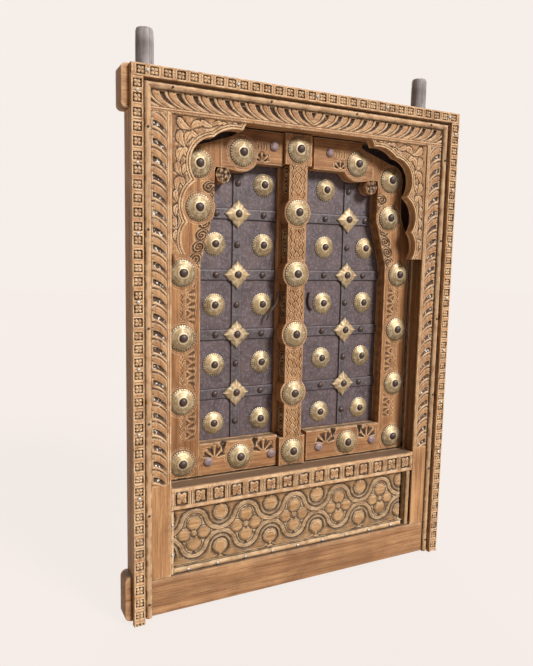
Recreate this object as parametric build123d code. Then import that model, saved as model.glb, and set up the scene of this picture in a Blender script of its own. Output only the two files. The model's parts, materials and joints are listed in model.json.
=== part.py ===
from build123d import *
import os
from math import atan2, cos, hypot, pi, sin

os.makedirs("parts", exist_ok=True)

# X runs to the right of the viewer, Y into the wall and Z up.
# The origin is the middle of the sill's underside. Lengths are in millimetres.

# Face of the window, measured over the border strips
face_width = 760
face_height = 1050

# Frame timbers
jamb_width = 78
head_height = 76
sill_height = 75
frame_depth = 40
beam_depth = 110
beam_rear_margin = 27
left_horn_length = 15
right_horn_length = 4
head_horn_round = 9
sill_horn_rise = 17
sill_horn_round = 12
transom_top = 257
transom_height = 45

# Leaf band carved along the jambs and the head
band_inset = 9
band_width = 30
band_foot_rise = 11
leaf_pitch = 32
leaf_chip_width = 9
leaf_chip_depth = 4
leaf_slant = 17

# Border strips and half-round beads on the face
strip_width = 22
strip_thickness = 12
strip_pitch = 25
strip_chip_size = 15
strip_chip_depth = 4
left_strip_overhang = 7
right_strip_overhang = 3
bead_width = 13
bead_gap = 3.5

# Transom rosettes
rosette_pitch = 40
rosette_size = 22
rosette_depth = 5

# Apron below the transom
apron_recess = 18
apron_thickness = 16
apron_relief = 5
apron_bead_height = 12
apron_side_bead_width = 8
apron_end_bead_width = 12
apron_slot_width = 12
apron_slot_depth = 9
ribbon_width = 9
ribbon_pitch = 117
ribbon_phase = -15
ribbon_arch_radius = 27
ribbon_arch_rise = 21
ribbon_dip_rise = 37
ribbon_side_cells = 3
ribbon_steps = 4
quatrefoil_reach = 30
quatrefoil_mean_share = 0.74
quatrefoil_lobes = 4
quatrefoil_points = 12
bud_reach = 17
bud_neck = 9
bud_points = 5

# Spandrels of the cusped arch: each point is an inset from the jamb and a drop from the head
spandrel_thickness = 22
spandrel_set_back = 4
spandrel_moulding = 9
spandrel_relief = 3
crown_inset = 154
shoulder_inset = 145
shoulder_drop = 16
first_cusp_inset = 85
first_cusp_drop = 34
second_cusp_inset = 51
second_cusp_drop = 118
third_cusp_inset = 34
third_cusp_drop = 196
tip_inset = 30
tip_drop = 257
first_foil_bulge = 7.5
second_foil_bulge = 28
third_foil_bulge = 18
fourth_foil_bulge = 11

# Leaves, hung on round pivots behind the jambs
leaf_running_gap = 3
leaf_end_gap = 2
leaf_timber_thickness = 29.5
board_thickness = 22
sheet_thickness = 1.5
pivot_set_back = 29
pivot_post_width = 36
head_pivot_radius = 17.5
pivot_head_rise = 90
foot_pivot_radius = 14
foot_pivot_length = 30
running_clearance = 0.06
board_meeting_gap = 4
timber_meeting_gap = 10

# Lobed front frame of each leaf
stile_post_gap = 15
stile_width = 70
stile_neck_drop = 274
stile_spring_drop = 229
stile_boss_shift = 3
arch_boss_inset = 65
upper_arch_boss_drop = 79
arch_lobe_radius = 36
arch_neck_inset = 2
top_rail_drop = 69
top_rail_boss_shift = 3
top_rail_boss_drop = 50
top_rail_lobe_radius = 38
top_rail_shoulder = 12
haunch_joint_shift = 3
haunch_lobe_radius = 16.5
haunch_lobe_sides = 8
haunch_lobe_share = 0.44
haunch_lobe_sink_share = 0.8
bottom_rail_height = 67

# Meeting column, carried by the left leaf
column_offset = -14
column_lobe_radius = 32
column_neck_width = 44
column_block_height = 64
column_proud = 10
column_base_thickness = 8

# Iron straps and brass work
strap_width = 21
strap_thickness = 3
strap_end_gap = 2
frame_boss_radius = 27.5
frame_boss_height = 8.5
frame_boss_count = 6
frame_boss_sides = 12
panel_boss_radius = 26
panel_boss_height = 8
panel_boss_count = 5
panel_boss_sides = 10
panel_boss_foot_gap = 36
panel_boss_top_drop = 108
panel_inner_gap_share = 0.09
panel_outer_gap_share = 0.26
boss_shoulder_share = 0.68
boss_crown_share = 0.26
boss_shoulder_height_share = 0.62
star_points = 4
star_reach_share = 0.17
star_height = 7.5
star_waist_share = 0.56
star_crown_share = 0.36

# Forged nails
boss_nail_radius = 9.5
boss_nail_height = 5
panel_nail_radius = 8.5
panel_nail_height = 4.5
strap_nail_radius = 7
strap_nail_height = 4.5
strap_nail_share = 0.6
nail_shank_share = 0.4
nail_sides = 5
boss_nail_length = 27
strap_nail_length = 18
clench_nail_radius = 11
clench_nail_height = 5
clench_nail_length = 30
clench_top_gap = 22
clench_top_drop = 32
clench_outer_inset = 20
clench_inner_gap = 15
clench_foot_rise = 27
border_nail_radius = 3.6
border_nail_height = 2.4
border_nail_length = 22
bead_nail_radius = 2.6
bead_nail_height = 2
bead_nail_length = 18
side_nail_count = 7
top_nail_count = 5
side_bead_nail_count = 6
top_bead_nail_count = 4
apron_nail_count = 9
apron_side_nail_count = 2
small_nail_sides = 4
nail_end_margin = 30

# Ledges across the backs of the leaves
ledge_height = 60
ledge_thickness = 18
ledge_post_lap = 14
ledge_inset = 12
ledge_end_margin = 42
ledge_count = 3

# Remains of the latch, placed from the column's edges and the middle of the leaves
latch_width = 4.4
latch_thickness = 4
latch_stand_off = 14
hook_pin_gap = 2.6
hook_head_turn = 7
hook_head_rise = 26
hook_bend_turn = 10
hook_bend_drop = 16
hook_tip_turn = 22
hook_tip_drop = 38
loop_gap = 19
loop_height = 8
loop_head_turn = 4
loop_head_rise = 26
loop_bend_rise = 6
loop_knee_turn = 4
loop_knee_drop = 9
loop_tip_turn = 13
loop_tip_drop = 16

# Levels that follow from the sizes above
half_face = face_width / 2
jamb_inner = half_face - jamb_width
head_foot = face_height - head_height
frame_front = -frame_depth / 2
frame_back = frame_depth / 2
beam_back = frame_front + beam_depth
strip_front = frame_front - strip_thickness
transom_foot = transom_top - transom_height
band_foot = transom_top + band_foot_rise
band_inner = jamb_inner + band_inset
band_outer = band_inner + band_width
bead_outer = half_face - strip_width - bead_gap
bead_inner = bead_outer - bead_width
bead_height = bead_width / 2
apron_front = frame_front + apron_recess
leaf_front = frame_back + leaf_running_gap
sheet_front = leaf_front + leaf_timber_thickness
board_front = sheet_front + sheet_thickness
board_back = board_front + board_thickness
leaf_foot = transom_top + leaf_end_gap
leaf_top = head_foot - leaf_end_gap
leaf_mid = (leaf_foot + leaf_top) / 2
pivot_x = jamb_inner + pivot_set_back
pivot_y = board_back - pivot_post_width / 2
pivot_inner = pivot_x - pivot_post_width / 2
beam_rear_reach = pivot_x + beam_rear_margin
stile_outer = pivot_inner - stile_post_gap
stile_inner = stile_outer - stile_width
stile_neck = head_foot - stile_neck_drop
stile_spring = head_foot - stile_spring_drop
column_left = column_offset - column_lobe_radius
panel_edge = -column_left
strap_x = (panel_edge + stile_inner) / 2
star_reach = star_reach_share * (stile_inner - panel_edge)
arch_boss_x = stile_outer - arch_boss_inset
upper_arch_boss_z = head_foot - upper_arch_boss_drop
top_rail_foot = head_foot - top_rail_drop
top_rail_boss_x = strap_x + top_rail_boss_shift
top_rail_boss_z = head_foot - top_rail_boss_drop
top_rail_outer = top_rail_boss_x + top_rail_shoulder
haunch_x = top_rail_boss_x + haunch_lobe_share * (arch_boss_x - top_rail_boss_x)
haunch_joint = haunch_x + haunch_joint_shift
bottom_rail_top = leaf_foot + bottom_rail_height
column_right = column_offset + column_lobe_radius
column_front = leaf_front - column_proud
right_board_edge = column_right + board_meeting_gap
right_timber_edge = column_right + timber_meeting_gap
strap_front = sheet_front - strap_thickness
panel_slack = stile_inner - panel_edge - 4 * panel_boss_radius - strap_width
panel_boss_inner = panel_edge + panel_boss_radius + panel_slack * panel_inner_gap_share
panel_boss_outer = stile_inner - panel_boss_radius - panel_slack * panel_outer_gap_share


def steps(low, high, count):
    """Evenly spaced values from low to high."""
    return [low + (high - low) * n / (count - 1) for n in range(count)]


block_mid = column_block_height / 2
frame_boss_rows = steps(leaf_foot + block_mid, leaf_top - block_mid, frame_boss_count)
panel_boss_foot = bottom_rail_top + panel_boss_foot_gap
panel_boss_rows = steps(panel_boss_foot, head_foot - panel_boss_top_drop, panel_boss_count)
strap_rows = [(low + high) / 2 for low, high in zip(panel_boss_rows, panel_boss_rows[1:])]


def block(xs, ys, zs):
    """Box between the low and high limits on each axis."""
    limits = (xs, ys, zs)
    centre = [(low + high) / 2 for low, high in limits]
    return Pos(*centre) * Box(*[high - low for low, high in limits])


def slab(sketch, ys):
    """Extrude a sketch drawn in X and Z between two depths."""
    low, high = ys
    return extrude(Plane.XZ.offset(-high) * sketch, amount=high - low)


def outline(*points):
    """Straight-sided face through points in X and Z."""
    return make_face(Polyline(*points, close=True))


def area(xs, zs):
    """Rectangle between limits in X and Z."""
    return outline((xs[0], zs[0]), (xs[1], zs[0]), (xs[1], zs[1]), (xs[0], zs[1]))


def disc(x, z, radius):
    return Pos(x, z) * Circle(radius)


def facet_stack(shape, rings):
    """Solid of flat facets: one outline repeated at several scales and depths.

    Each ring is a scale and a depth in Y. A scale of zero closes the stack in a point.
    """
    loops = [[Vector(x * size, y, z * size) for x, z in shape] for size, y in rings]
    faces = []
    for lower, upper in zip(loops, loops[1:]):
        for here in range(len(shape)):
            after = (here + 1) % len(shape)
            corners = [lower[here], lower[after], upper[after], upper[here]]
            distinct = [p for n, p in enumerate(corners) if (p - corners[n - 1]).length > 0]
            faces.append(Face(Wire.make_polygon(distinct)))
    for loop, ring in ((loops[0], rings[0]), (loops[-1], rings[-1])):
        if ring[0] > 0:
            faces.append(Face(Wire.make_polygon(loop)))
    return Solid(Shell(faces))


def ring_outline(sides, waist_share=1.0):
    """Unit outline with alternate corners drawn in to a share of its reach."""
    reach = [1.0, waist_share]
    turns = [2 * pi * n / sides for n in range(sides)]
    return [(sin(t) * reach[n % 2], cos(t) * reach[n % 2]) for n, t in enumerate(turns)]


def nail(radius, height, length, surface, sides):
    """Forged nail with a faceted head on a surface and a tapered shank behind it."""
    rings = [
        (0.0, surface + length),
        (radius * nail_shank_share, surface),
        (radius, surface),
        (0.0, surface - height),
    ]
    return facet_stack(ring_outline(sides), rings)


def boss(radius, height, surface, sides):
    """Beaten dome of sheet brass with its base on a surface."""
    rings = [
        (radius, surface),
        (radius * boss_shoulder_share, surface - height * boss_shoulder_height_share),
        (radius * boss_crown_share, surface - height),
    ]
    return facet_stack(ring_outline(sides), rings)


def chip(points, surface, depth):
    """Carver's chip: a pyramid sunk behind a flat surface."""
    centre_x = sum(x for x, z in points) / len(points)
    centre_z = sum(z for x, z in points) / len(points)
    shape = [(x - centre_x, z - centre_z) for x, z in points]
    return Pos(centre_x, 0, centre_z) * facet_stack(shape, [(1.0, surface), (0.0, surface + depth)])


def spread(solid, spots):
    """Copies of a solid moved to spots in X and Z, as one group."""
    return Compound(children=[Pos(x, 0, z) * solid for x, z in spots])


def flip(shape):
    return mirror(shape, about=Plane.YZ)


def save(shape, node):
    export_step(shape, f"parts/{node}.step")


# Jambs with their leaf band
leaf_chips = []
leaf_rise = band_foot
while leaf_rise + leaf_pitch + leaf_slant < head_foot:
    low, high = (band_inner, leaf_rise), (band_outer, leaf_rise + leaf_pitch)
    middle = (band_inner + band_outer) / 2
    vein = leaf_rise + leaf_slant
    points = [low, (middle, vein), high, (middle, vein - leaf_chip_width)]
    leaf_chips.append(chip(points, frame_front, leaf_chip_depth))
    leaf_rise += leaf_pitch
jamb = block((jamb_inner, half_face), (frame_front, frame_back), (sill_height, head_foot))
jamb = jamb - leaf_chips
save(jamb, "right_jamb")
save(flip(jamb), "left_jamb")

# Head beam: horns past the jambs, a rear part that carries the pivots, and its leaf band
left_horn_end = -half_face - left_horn_length
right_horn_end = half_face + right_horn_length
head_face = RectangleRounded(right_horn_end - left_horn_end, head_height, head_horn_round)
head_face = Pos((left_horn_end + right_horn_end) / 2, (head_foot + face_height) / 2) * head_face
head = slab(head_face, (frame_front, frame_back))
head += block((-beam_rear_reach, beam_rear_reach), (frame_back, beam_back), (head_foot, face_height))
head_band_foot = head_foot + band_inset
head_chips = []
leaf_x = leaf_pitch / 2
while leaf_x + leaf_pitch < band_outer:
    middle = head_band_foot + band_width / 2
    points = [
        (leaf_x, head_band_foot),
        (leaf_x + leaf_slant, middle),
        (leaf_x + leaf_pitch, head_band_foot + band_width),
        (leaf_x + leaf_slant - leaf_chip_width, middle),
    ]
    one = chip(points, frame_front, leaf_chip_depth)
    head_chips += [one, flip(one)]
    leaf_x += leaf_pitch
pivot_hole = Pos(pivot_x, pivot_y, (head_foot + face_height) / 2) * Cylinder(
    head_pivot_radius + running_clearance, head_height
)
head = head - head_chips - [pivot_hole, flip(pivot_hole)]
save(head, "head_beam")

# Sill beam, with a taller horn on the left and its right end sawn off close to the face
horn = area((left_horn_end, -half_face), (0, sill_height + sill_horn_rise))
horn = fillet(horn.vertices().group_by(Axis.X)[0], sill_horn_round)
sill = block((-half_face, right_horn_end), (frame_front, frame_back), (0, sill_height))
sill += slab(horn, (frame_front, frame_back))
save(sill, "sill_beam")

# Transom: carved front between the jambs, ledge on top, sockets for the lower pivots behind
transom = block((-jamb_inner, jamb_inner), (frame_front, frame_back), (transom_foot, transom_top))
transom += block((-beam_rear_reach, beam_rear_reach), (frame_back, beam_back), (transom_foot, transom_top))
rosette_mid = (transom_foot + transom_top) / 2
rosette_half = rosette_size / 2
rosette_count = int(2 * jamb_inner / rosette_pitch)
rosette_shape = [
    (rosette_half, rosette_mid - rosette_half),
    (rosette_half, rosette_mid + rosette_half),
    (-rosette_half, rosette_mid + rosette_half),
    (-rosette_half, rosette_mid - rosette_half),
]
rosette_chip = chip(rosette_shape, frame_front, rosette_depth)
rosette_end = rosette_pitch * (rosette_count - 1) / 2
rosette_chips = [Pos(x, 0, 0) * rosette_chip for x in steps(-rosette_end, rosette_end, rosette_count)]
socket_length = foot_pivot_length - leaf_end_gap
foot_socket = Pos(pivot_x, pivot_y, transom_top - socket_length / 2) * Cylinder(
    foot_pivot_radius + running_clearance, socket_length
)
transom = transom - rosette_chips - [foot_socket, flip(foot_socket)]
save(transom, "transom_beam")

# Apron panel: two interlaced ribbons, quatrefoils in their cells and half flowers between
field_foot = sill_height + apron_bead_height
field_mid = (field_foot + transom_foot) / 2
field_left = -jamb_inner + apron_side_bead_width
field_right = jamb_inner - apron_end_bead_width - apron_slot_width
relief_front = apron_front - apron_relief
apron_ys = (apron_front, apron_front + apron_thickness)
apron = block((-jamb_inner, jamb_inner), apron_ys, (sill_height, transom_foot))
slot = (field_right, field_right + apron_slot_width)
apron -= block(slot, (apron_front, apron_front + apron_slot_depth), (field_foot, transom_foot))


def ribbon(sense):
    """Wavy band of round arches over the cells and round dips between them."""
    across = ribbon_pitch / 2
    climb = ribbon_dip_rise - ribbon_arch_rise
    lean = atan2(across, climb)
    dip_radius = hypot(across, climb) - ribbon_arch_radius
    sides = {1: [], -1: []}
    for cell in range(-ribbon_side_cells, ribbon_side_cells):
        arch_x = ribbon_phase + cell * ribbon_pitch
        for edge, points in sides.items():
            arch = ribbon_arch_radius + edge * ribbon_width / 2
            dip = dip_radius - edge * ribbon_width / 2
            for turn in steps(-lean, lean, ribbon_steps):
                points.append((arch_x + arch * sin(turn), ribbon_arch_rise + arch * cos(turn)))
            for turn in steps(-lean, lean, ribbon_steps)[1:-1]:
                points.append((arch_x + across + dip * sin(turn), ribbon_dip_rise - dip * cos(turn)))
    points = [(x, field_mid + sense * z) for x, z in sides[1] + sides[-1][::-1]]
    return outline(*points) & area((field_left, field_right), (field_foot, transom_foot))


def in_field(x, reach):
    return field_left < x - reach and x + reach < field_right


quatrefoil_turns = [2 * pi * n / quatrefoil_points for n in range(quatrefoil_points)]
quatrefoil_swell = 1 - quatrefoil_mean_share
quatrefoil_shape = []
for turn in quatrefoil_turns:
    reach = quatrefoil_mean_share + quatrefoil_swell * cos(quatrefoil_lobes * turn)
    quatrefoil_shape.append((reach * sin(turn), reach * cos(turn)))
quatrefoil_rings = [(quatrefoil_reach, apron_front), (quatrefoil_reach, relief_front)]
quatrefoil = facet_stack(quatrefoil_shape, quatrefoil_rings)
relief = []
for cell in range(1 - ribbon_side_cells, ribbon_side_cells):
    cell_x = ribbon_phase + cell * ribbon_pitch
    if in_field(cell_x, quatrefoil_reach):
        relief.append(Pos(cell_x, 0, field_mid) * quatrefoil)
    gap_x = cell_x + ribbon_pitch / 2
    if in_field(gap_x, bud_reach):
        for edge, sense in ((field_foot, 1), (transom_foot, -1)):
            middle = field_mid - sense * ribbon_dip_rise
            turns = steps(-pi / 2, pi / 2, bud_points)
            bud = [(gap_x + bud_reach * sin(t), middle + sense * bud_reach * cos(t)) for t in turns]
            bud = outline(*bud, (gap_x + bud_neck, edge), (gap_x - bud_neck, edge))
            relief.append(slab(bud, (relief_front, apron_front)))
relief += [slab(ribbon(sense), (relief_front, apron_front)) for sense in (1, -1)]
apron = apron + relief
save(apron, "apron_panel")

# Beads that hold the apron
apron_bead_front = apron_front - apron_bead_height
apron_bead_ys = (apron_bead_front, apron_front)
apron_side_zs = (sill_height, transom_foot)
apron_bottom_bead = block((field_left, field_right), apron_bead_ys, (sill_height, field_foot))
save(apron_bottom_bead, "apron_bottom_bead")
apron_left_bead = block((-jamb_inner, field_left), apron_bead_ys, apron_side_zs)
save(apron_left_bead, "apron_left_bead")
apron_right_bead = block((field_right + apron_slot_width, jamb_inner), apron_bead_ys, apron_side_zs)
save(apron_right_bead, "apron_right_bead")

# Spandrels of the cusped arch
def arch_point(inset, drop):
    return (jamb_inner - inset, head_foot - drop)


crown = arch_point(crown_inset, 0)
tip = arch_point(tip_inset, tip_drop)
cusps = [
    arch_point(shoulder_inset, shoulder_drop),
    arch_point(first_cusp_inset, first_cusp_drop),
    arch_point(second_cusp_inset, second_cusp_drop),
    arch_point(third_cusp_inset, third_cusp_drop),
    tip,
]
bulges = [first_foil_bulge, second_foil_bulge, third_foil_bulge, fourth_foil_bulge]
arch_edge = [Line(crown, cusps[0])]
arch_edge += [SagittaArc(here, after, bulge) for here, after, bulge in zip(cusps, cusps[1:], bulges)]
back_edge = Polyline(tip, (jamb_inner, tip[1]), (jamb_inner, head_foot), crown)
spandrel_face = make_face(Curve() + arch_edge + back_edge)
spandrel_front = frame_front + spandrel_set_back
spandrel = slab(spandrel_face, (spandrel_front, spandrel_front + spandrel_thickness))
spandrel_field = offset(spandrel_face, amount=-spandrel_moulding)
spandrel -= slab(spandrel_field, (spandrel_front, spandrel_front + spandrel_relief))
save(spandrel, "right_spandrel")
save(flip(spandrel), "left_spandrel")

# Border strips with a row of chip-carved squares
chip_half = strip_chip_size / 2
square = [(chip_half, -chip_half), (chip_half, chip_half), (-chip_half, chip_half), (-chip_half, -chip_half)]
square_chip = chip(square, strip_front, strip_chip_depth)
strip_ys = (strip_front, frame_front)
strip_mid = half_face - strip_width / 2
top_strip = block((-half_face, half_face), strip_ys, (face_height - strip_width, face_height))
top_count = int(face_width / strip_pitch)
top_end = strip_pitch * (top_count - 1) / 2
top_mid = face_height - strip_width / 2
top_strip = top_strip - [Pos(x, 0, top_mid) * square_chip for x in steps(-top_end, top_end, top_count)]
save(top_strip, "top_border_strip")
side_top = face_height - strip_width
side_count = int(side_top / strip_pitch)
side_rows = [side_top - strip_pitch * (n + 1 / 2) for n in range(side_count)]
side_chips = [Pos(strip_mid, 0, z) * square_chip for z in side_rows]
for node, overhang, place in (
    ("right_border_strip", right_strip_overhang, lambda shape: shape),
    ("left_border_strip", left_strip_overhang, flip),
):
    strip = block((half_face - strip_width, half_face), strip_ys, (-overhang, side_top)) - side_chips
    save(place(strip), node)

# Half-round beads, mitred at the upper corners
bead_top = face_height - strip_width - bead_gap
bead_profile = make_face(
    Curve() + [Line((bead_inner, frame_front), (bead_outer, frame_front)),
               ThreePointArc((bead_outer, frame_front),
                             ((bead_inner + bead_outer) / 2, frame_front - bead_height),
                             (bead_inner, frame_front))]
)
side_bead = extrude(bead_profile, amount=bead_top)
mitre = slab(
    outline((bead_inner, bead_top - bead_width), (bead_outer, bead_top), (bead_inner, bead_top)),
    (frame_front - bead_height, frame_front),
)
save(side_bead - mitre, "right_round_bead")
save(flip(side_bead - mitre), "left_round_bead")
top_bead_mid = bead_top - bead_width / 2
top_profile = make_face(
    Curve() + [Line((frame_front, bead_top - bead_width), (frame_front, bead_top)),
               ThreePointArc((frame_front, bead_top), (frame_front - bead_height, top_bead_mid),
                             (frame_front, bead_top - bead_width))]
)
top_bead = extrude(Plane.YZ.offset(-bead_outer) * top_profile, amount=2 * bead_outer)
top_mitre = slab(
    outline((bead_inner, bead_top - bead_width), (bead_outer, bead_top - bead_width), (bead_outer, bead_top)),
    (frame_front - bead_height, frame_front),
)
save(top_bead - [top_mitre, flip(top_mitre)], "top_round_bead")

# Small nails through strips, beads and apron beads
border_nail = nail(border_nail_radius, border_nail_height, border_nail_length, strip_front, small_nail_sides)
nail_pitch = strip_pitch * (side_count // side_nail_count)
nail_rows = [side_top - strip_pitch - nail_pitch * n for n in range(side_nail_count)]
border_spots = [(side * strip_mid, z) for side in (-1, 1) for z in nail_rows]
top_nail_xs = [strip_pitch * round(x / strip_pitch) for x in
               steps(-half_face + nail_end_margin, half_face - nail_end_margin, top_nail_count)]
border_spots += [(x, top_mid) for x in top_nail_xs]
save(spread(border_nail, border_spots), "border_nails")
bead_front = frame_front - bead_height
bead_nail = nail(bead_nail_radius, bead_nail_height, bead_nail_length, bead_front, small_nail_sides)
bead_mid = (bead_inner + bead_outer) / 2
bead_rows = steps(nail_end_margin, head_foot - nail_end_margin, side_bead_nail_count)
bead_spots = [(side * bead_mid, z) for side in (-1, 1) for z in bead_rows]
bead_spots += [(x, top_bead_mid) for x in steps(-jamb_inner, jamb_inner, top_bead_nail_count)]
save(spread(bead_nail, bead_spots), "bead_nails")
apron_nail = Pos(0, apron_bead_front - strip_front, 0) * border_nail
apron_nail_z = (sill_height + field_foot) / 2
apron_xs = steps(field_left + nail_end_margin, field_right - nail_end_margin, apron_nail_count)
apron_spots = [(x, apron_nail_z) for x in apron_xs]
left_bead_mid = (field_left - jamb_inner) / 2
apron_rows = steps(field_foot + nail_end_margin, field_mid + nail_end_margin, apron_side_nail_count)
apron_spots += [(left_bead_mid, z) for z in apron_rows]
save(spread(apron_nail, apron_spots), "apron_nails")

# Lobed front frame of a leaf, drawn for the right-hand side
lower_arch_boss_z = frame_boss_rows[-2]
lobe_inner = arch_boss_x - arch_lobe_radius
lobe_outer = arch_boss_x + arch_lobe_radius
frame_face = area((stile_inner, stile_outer), (leaf_foot, stile_spring))
frame_face += outline(
    (stile_inner, stile_neck),
    (stile_outer, stile_neck),
    (stile_outer, stile_spring),
    (lobe_outer, lower_arch_boss_z),
    (lobe_inner, lower_arch_boss_z),
)
arch_neck = (lobe_inner + arch_neck_inset, lobe_outer - arch_neck_inset)
frame_face += area(arch_neck, (lower_arch_boss_z, upper_arch_boss_z))
frame_face += disc(arch_boss_x, lower_arch_boss_z, arch_lobe_radius)
frame_face += disc(arch_boss_x, upper_arch_boss_z, arch_lobe_radius)
frame_face += disc(top_rail_boss_x, top_rail_boss_z, top_rail_lobe_radius)
frame_face += outline(
    (top_rail_boss_x, top_rail_boss_z + top_rail_lobe_radius),
    (arch_boss_x, upper_arch_boss_z + arch_lobe_radius),
    (arch_boss_x, upper_arch_boss_z),
    (top_rail_boss_x, top_rail_boss_z - top_rail_lobe_radius),
)
frame_face += area((column_right, top_rail_outer), (top_rail_foot, leaf_top))
haunch_edge = (1 - haunch_lobe_share) * (top_rail_boss_z - top_rail_lobe_radius)
haunch_edge += haunch_lobe_share * upper_arch_boss_z
haunch_z = haunch_edge - haunch_lobe_sink_share * haunch_lobe_radius
frame_face += Pos(haunch_x, haunch_z) * RegularPolygon(haunch_lobe_radius, haunch_lobe_sides)
frame_face &= area((column_right, stile_outer), (leaf_foot, leaf_top))
frame_ys = (leaf_front, sheet_front)
stile = slab(frame_face & area((haunch_joint, stile_outer), (leaf_foot, leaf_top)), frame_ys)

# Fasteners and brass of one leaf, as spots in X and Z on the right-hand side
stile_boss_x = (stile_inner + stile_outer) / 2 + stile_boss_shift
frame_boss_spots = [(stile_boss_x, z) for z in frame_boss_rows[:-2]]
frame_boss_spots += [(arch_boss_x, lower_arch_boss_z), (arch_boss_x, upper_arch_boss_z)]
frame_boss_spots += [(top_rail_boss_x, top_rail_boss_z), (strap_x, frame_boss_rows[0])]
column_boss_spots = [(column_offset, z) for z in frame_boss_rows]
panel_boss_spots = [(panel_boss_inner, z) for z in panel_boss_rows]
panel_boss_spots += [(panel_boss_outer, z) for z in panel_boss_rows[:-1]]
star_spots = [(strap_x, z) for z in strap_rows]
star_tip = strap_x + star_reach
strap_nail_x = star_tip + strap_nail_share * (lobe_inner - strap_end_gap - star_tip)
strap_nail_spots = [(strap_x, z) for z in panel_boss_rows]
strap_nail_spots += [(x, z) for z in strap_rows for x in (panel_boss_inner, strap_nail_x)]
clench_spots = [
    (panel_edge + clench_top_gap, head_foot - clench_top_drop),
    (stile_inner - clench_outer_inset, leaf_foot + clench_foot_rise),
    (panel_edge + clench_inner_gap, leaf_foot + clench_foot_rise),
]

frame_boss_front = leaf_front - frame_boss_height
panel_boss_front = sheet_front - panel_boss_height
star_front = strap_front - star_height
frame_boss = boss(frame_boss_radius, frame_boss_height, leaf_front, frame_boss_sides)
panel_boss = boss(panel_boss_radius, panel_boss_height, sheet_front, panel_boss_sides)
star_shape = ring_outline(2 * star_points, star_waist_share)
star_crown = (star_reach * star_crown_share, star_front)
star = facet_stack(star_shape, [(star_reach, strap_front), star_crown])
frame_nail = nail(boss_nail_radius, boss_nail_height, boss_nail_length, frame_boss_front, nail_sides)
panel_nail = nail(panel_nail_radius, panel_nail_height, boss_nail_length, panel_boss_front, nail_sides)
star_nail = Pos(0, star_front - panel_boss_front, 0) * panel_nail
strap_nail = nail(strap_nail_radius, strap_nail_height, strap_nail_length, strap_front, small_nail_sides)
clench_nail = nail(clench_nail_radius, clench_nail_height, clench_nail_length, leaf_front, nail_sides)

leaf_zs = (leaf_foot, leaf_top)
head_pivot_length = face_height + pivot_head_rise - leaf_top
pivot_post = Pos(pivot_x, pivot_y, leaf_mid) * Box(pivot_post_width, pivot_post_width, leaf_top - leaf_foot)
pivot_post += Pos(pivot_x, pivot_y, leaf_top + head_pivot_length / 2) * Cylinder(
    head_pivot_radius, head_pivot_length
)
pivot_post += Pos(pivot_x, pivot_y, leaf_foot - foot_pivot_length / 2) * Cylinder(
    foot_pivot_radius, foot_pivot_length
)

strap_left = strap_x - strap_width / 2
strap_right = strap_x + strap_width / 2
strap_ys = (strap_front, sheet_front)
strap_top = top_rail_boss_z - top_rail_lobe_radius - strap_end_gap
upright_strap = block((strap_left, strap_right), strap_ys, (bottom_rail_top, strap_top))


def cross_straps(inner):
    """Two halves of each cross strap, butted against the upright strap."""
    pieces = []
    for z in strap_rows:
        outer = lobe_inner - strap_end_gap if z == strap_rows[-1] else stile_inner
        for ends in ((inner, strap_left), (strap_right, outer)):
            pieces.append(block(ends, strap_ys, (z - strap_width / 2, z + strap_width / 2)))
    return Compound(children=pieces)


ledge_end = ledge_end_margin + ledge_height / 2
ledge_rows = steps(leaf_foot + ledge_end, leaf_top - ledge_end, ledge_count)

# The two leaves. The left one reaches past the middle and carries the meeting column.
for side, place, board_edge, timber_edge in (
    ("left", flip, -column_right, -column_left),
    ("right", lambda shape: shape, right_board_edge, right_timber_edge),
):
    boards = block((board_edge, pivot_inner), (board_front, board_back), leaf_zs)
    sheet = block((board_edge, stile_outer), (sheet_front, board_front), leaf_zs)
    top_rail = slab(frame_face & area((timber_edge, haunch_joint), (stile_spring, leaf_top)), frame_ys)
    bottom_rail = block((timber_edge, stile_inner), frame_ys, (leaf_foot, bottom_rail_top))
    ledge_xs = (board_edge + ledge_inset, pivot_x + ledge_post_lap)
    ledge_ys = (board_back, board_back + ledge_thickness)
    ledges = Compound(children=[
        block(ledge_xs, ledge_ys, (z - ledge_height / 2, z + ledge_height / 2)) for z in ledge_rows
    ])
    if side == "left":
        boss_nails = [Pos(-x, -column_proud, z) * frame_nail for x, z in column_boss_spots]
        bosses = [Pos(-x, -column_proud, z) * frame_boss for x, z in column_boss_spots]
    else:
        boss_nails = []
        bosses = []
    bosses += [Pos(x, 0, z) * frame_boss for x, z in frame_boss_spots]
    boss_nails += [Pos(x, 0, z) * frame_nail for x, z in frame_boss_spots]
    boss_nails += [Pos(x, 0, z) * panel_nail for x, z in panel_boss_spots]
    boss_nails += [Pos(x, 0, z) * star_nail for x, z in star_spots]
    pieces = {
        "pivot_post": pivot_post,
        "boards": boards,
        "iron_sheet": sheet,
        "stile": stile,
        "top_rail": top_rail,
        "bottom_rail": bottom_rail,
        "back_ledges": ledges,
        "upright_strap": upright_strap,
        "cross_straps": cross_straps(timber_edge),
        "stars": spread(star, star_spots),
        "frame_bosses": Compound(children=bosses),
        "panel_bosses": spread(panel_boss, panel_boss_spots),
        "boss_nails": Compound(children=boss_nails),
        "strap_nails": spread(strap_nail, strap_nail_spots),
        "clench_nails": spread(clench_nail, clench_spots),
    }
    for name, shape in pieces.items():
        save(place(shape), f"{side}_{name}")

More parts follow.
